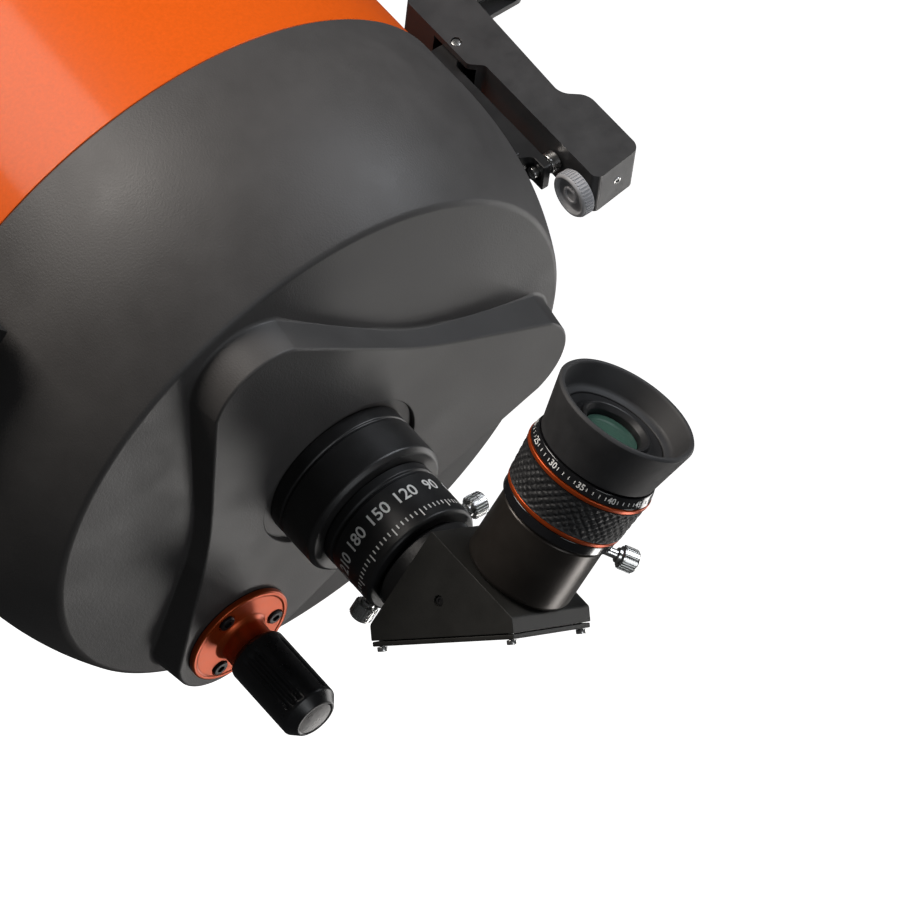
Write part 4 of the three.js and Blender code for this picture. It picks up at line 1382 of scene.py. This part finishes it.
@dataclass
class Finder:
    """The red-dot finder on its bracket: heights are distances from the optical axis."""

    width: float = 19.0
    stud: float = 46.0
    dial: float = 31.0
    pivot: tuple[float, float] = (100.0, 139.0)
    ribs: int = 40
    cell_clearance: float = 117.3

    def across(self, radius: float, reach: float) -> bmesh.types.BMesh:
        """Returns a rod about the pivot, on the finder's side bench."""
        rod = turned([(0, -reach), (radius, -reach, 0.2), (radius, reach, 0.2), (0, reach)], 32, 2)
        return moved(rod, Matrix.Translation((*self.pivot, 0)))

    def foot(self) -> bmesh.types.BMesh:
        """Returns the foot, hollowed to sit on the rear cell."""
        foot = block((-13, 47.5, 114), (13, 82, 124.7), 1.0)
        cell = moved(rod(self.cell_clearance, 20, 100, 256), Matrix.Rotation(-math.pi / 2, 4, "X"))
        return carved(foot, [cell])

    def bracket(self) -> bmesh.types.BMesh:
        """Returns the bracket from the foot to the pivot."""
        shape = plate([
            (48, 131, 1.5), (51, 125, 0.5), (100, 125, 1.5), (104, 129, 1.5), (104, 143, 2), (98, 143, 2),
            (94, 134.5, 1.5), (41.5, 134.5, 1), (41.5, 131, 0.6),
        ], -6, 6, 0.7)
        shape = carved(shape, [self.across(1.9, 10)])
        hole = rod(3.6, 120, 138, 40)
        return carved(shape, [moved(hole, pointed(Vector((0, 1, 0)), (self.stud, 0, 0)))])

    def dial_wheel(self) -> bmesh.types.BMesh:
        """Returns the ribbed wheel with its hollow face and slotted hub."""
        wheel = turned([
            (0, 134.7), (2.3, 134.7, 0.2), (2.3, 134.1, 0.2), (3.3, 134.1, 0.2), (3.3, 135.2, 0.3),
            (6.5, 135.2, 0.3), (6.8, 133.5, 0.2), (7.6, 133.4, 0.3), (8.1, 134.1, 0.2), (8.1, 138.4, 0.3),
            (3, 138.6), (3, 140.3), (0, 140.3),
        ], 96, 3)
        rib = block((7.9, -0.3, 134.5), (8.4, 0.3, 138), 0.12)
        return gathered([wheel, around(rib, self.ribs)])

    def body(self) -> bmesh.types.BMesh:
        """Returns the lamp housing with the window's hood at its front."""
        half = self.width / 2
        shape = plate([
            (25.8, 142.6, 1), (27.8, 140.6, 1), (86, 140.6, 1), (90, 136, 1), (124, 136, 2), (127, 142.5, 2),
            (127, 179, 2), (125, 181, 1), (114, 181, 1), (112, 179, 1), (112, 156, 1), (62, 154, 3),
            (56, 161.5, 3), (30, 161.5, 1.6), (27.9, 159.5, 0.8),
        ], -half, half, 1.1)
        room = plate([(88, 120), (108, 120), (108, 147), (88, 147)], -6.7, 6.7, 0)
        window = plate([(105, 158, 1), (140, 158), (140, 177), (105, 177, 1)], -7, 7, 0)
        for tool in (room, self.across(1.9, 15), window):
            shape = carved(shape, [tool])
        return shape

    def build(self) -> None:
        """Makes the finder's pieces and sets them down."""
        set_down("finder_shoe", self.foot(), FINDER, BLACK_ANODISED, "finder_foot")
        set_down("finder_arm", self.bracket(), FINDER_SIDE, BLACK_ANODISED, "finder_bracket")
        stud = turned([
            (0, 129.5), (2.2, 129.5, 0.3), (2.2, 136.2), (3.6, 136.2, 0.4), (3.6, 139.9, 0.4), (0, 139.9),
        ], 48, 3)
        shift = Matrix.Translation((0, self.stud, 0))
        set_down("finder_post", moved(stud, shift), FINDER, BARE_STEEL, "finder_stud")
        set_down("finder_pin", self.across(1.6, 9), FINDER_SIDE, BARE_STEEL, "finder_pivot_pin")
        wheel = moved(self.dial_wheel(), Matrix.Translation((0, self.dial, 0)))
        set_down("finder_wheel", wheel, FINDER, GREY_PLASTIC, "finder_dial")
        set_down("finder_lamp_housing", self.body(), FINDER_SIDE, BLACK_PLASTIC, "finder_body")
        screw = moved(socket_screw(1.5, 0.7, 0.8, 2), pointed(Vector((0, -1, 0)), (0, 27.3, 151.5)))
        set_down("finder_battery_screw", screw, FINDER, BARE_STEEL, "finder_body", stands_in=False)
        glass = block((-6.7, 118, 158.3), (6.7, 120, 176.7), 0.3)
        set_down("finder_glass", glass, FINDER, CLEAR_GLASS, "finder_window")


@dataclass(frozen=True)
class Studio:
    """The camera, the pale floor and the soft lights.

    The floor glows and is hidden from bounced and mirrored rays, so it is only a pale ground.
    """

    right: Vector = Vector((0.612, -0.620, 0.490))
    up: Vector = Vector((0.074, 0.662, 0.746))
    lens: float = 280.0
    frame_width: float = 0.295
    sensor: float = 36.0
    aim_right: float = 0.0448
    aim_up: float = -0.00275
    ambient: float = 0.04
    floor_drop: float = 1.2
    floor_half: float = 9.0
    key_power: float = 26.0
    front_power: float = 66.0
    card_power: float = 9.0
    fill_power: float = 11.0
    edge_power: float = 13.0

    def camera(self) -> None:
        """Makes the camera behind the telescope, above its focuser side."""
        back = self.right.cross(self.up).normalized()
        aim = OPTICS.origin + self.right * self.aim_right + self.up * self.aim_up
        distance = self.frame_width * self.lens / self.sensor
        lens = bpy.data.cameras.new("camera")
        lens.lens = self.lens
        lens.sensor_width = self.sensor
        lens.clip_end = 50
        camera = bpy.data.objects.new("camera", lens)
        turn = Matrix((self.right, self.up, back)).transposed().to_4x4()
        camera.matrix_world = Matrix.Translation(aim + back * distance) @ turn
        bpy.context.scene.collection.objects.link(camera)
        bpy.context.scene.camera = camera

    def world(self) -> None:
        """Fills the room with plain pale light."""
        world = bpy.data.worlds.new("studio")
        world.use_nodes = True
        sky = world.node_tree.nodes["Background"]
        sky.inputs["Color"].default_value = (0.96, 0.98, 1, 1)
        sky.inputs["Strength"].default_value = self.ambient
        bpy.context.scene.world = world
        bpy.context.scene.view_settings.view_transform = "Standard"

    def lamp(
        self, name: str, place: Sequence[float], size: tuple[float, float], power: float, colour: Colour,
    ) -> None:
        """Hangs a soft light that faces the rear of the telescope.

        Args:
            name: The light's name.
            place: Where it hangs, in metres from the rear cell's rim.
            size: Its width and height, in metres.
            power: Its power, in watts.
            colour: Its colour.
        """
        light = bpy.data.lights.new(name, "AREA")
        light.shape = "RECTANGLE"
        light.size, light.size_y = size
        light.energy = power
        light.color = colour
        lamp = bpy.data.objects.new(name, light)
        target = OPTICS.origin
        position = target + Vector(place)
        lamp.matrix_world = pointed(position - target, position)
        bpy.context.scene.collection.objects.link(lamp)

    def floor(self) -> None:
        """Lays the pale floor well below the telescope."""
        mesh = bmesh.new()
        bmesh.ops.create_grid(mesh, x_segments=2, y_segments=2, size=self.floor_half)
        bmesh.ops.translate(mesh, verts=mesh.verts[:], vec=(0, 0, CAD_BOX[0].z - self.floor_drop))
        data = bpy.data.meshes.new("studio_floor")
        mesh.to_mesh(data)
        mesh.free()
        data.materials.append(FLOOR_WHITE.material())
        floor = bpy.data.objects.new("studio_floor", data)
        bpy.context.scene.collection.objects.link(floor)
        floor.visible_diffuse = False
        floor.visible_glossy = False

    def build(self) -> None:
        """Sets up the studio."""
        self.camera()
        self.world()
        self.floor()
        self.lamp("high_key", (0.5, -0.3, 2.0), (0.9, 0.9), self.key_power, (0.9, 0.94, 1))
        self.lamp("front_side", (-1.45, 1.4, 1.15), (1.2, 1.2), self.front_power, (1, 0.94, 0.88))
        self.lamp("low_card", (1.26, -1.26, -0.9), (0.5, 0.5), self.card_power, (1, 0.97, 0.94))
        self.lamp("rear_fill", (-0.8, -2.2, 0.7), (1.0, 1.0), self.fill_power, (0.94, 0.97, 1))
        self.lamp("right_edge", (1.9, -0.5, 0.1), (0.7, 1.6), self.edge_power, (1, 0.98, 0.96))


def main() -> None:
    """Builds the telescope, the stage and the camera."""
    logging.basicConfig(level=logging.INFO, format="%(message)s")
    for part in (
        RearCell(), OpticalTube(), InnerOptics(), Focuser(), VisualBack(), StarDiagonal(), Eyepiece(),
        Dovetail(), Finder(),
    ):
        part.build()
    Studio().build()


if __name__ == "__main__":
    main()
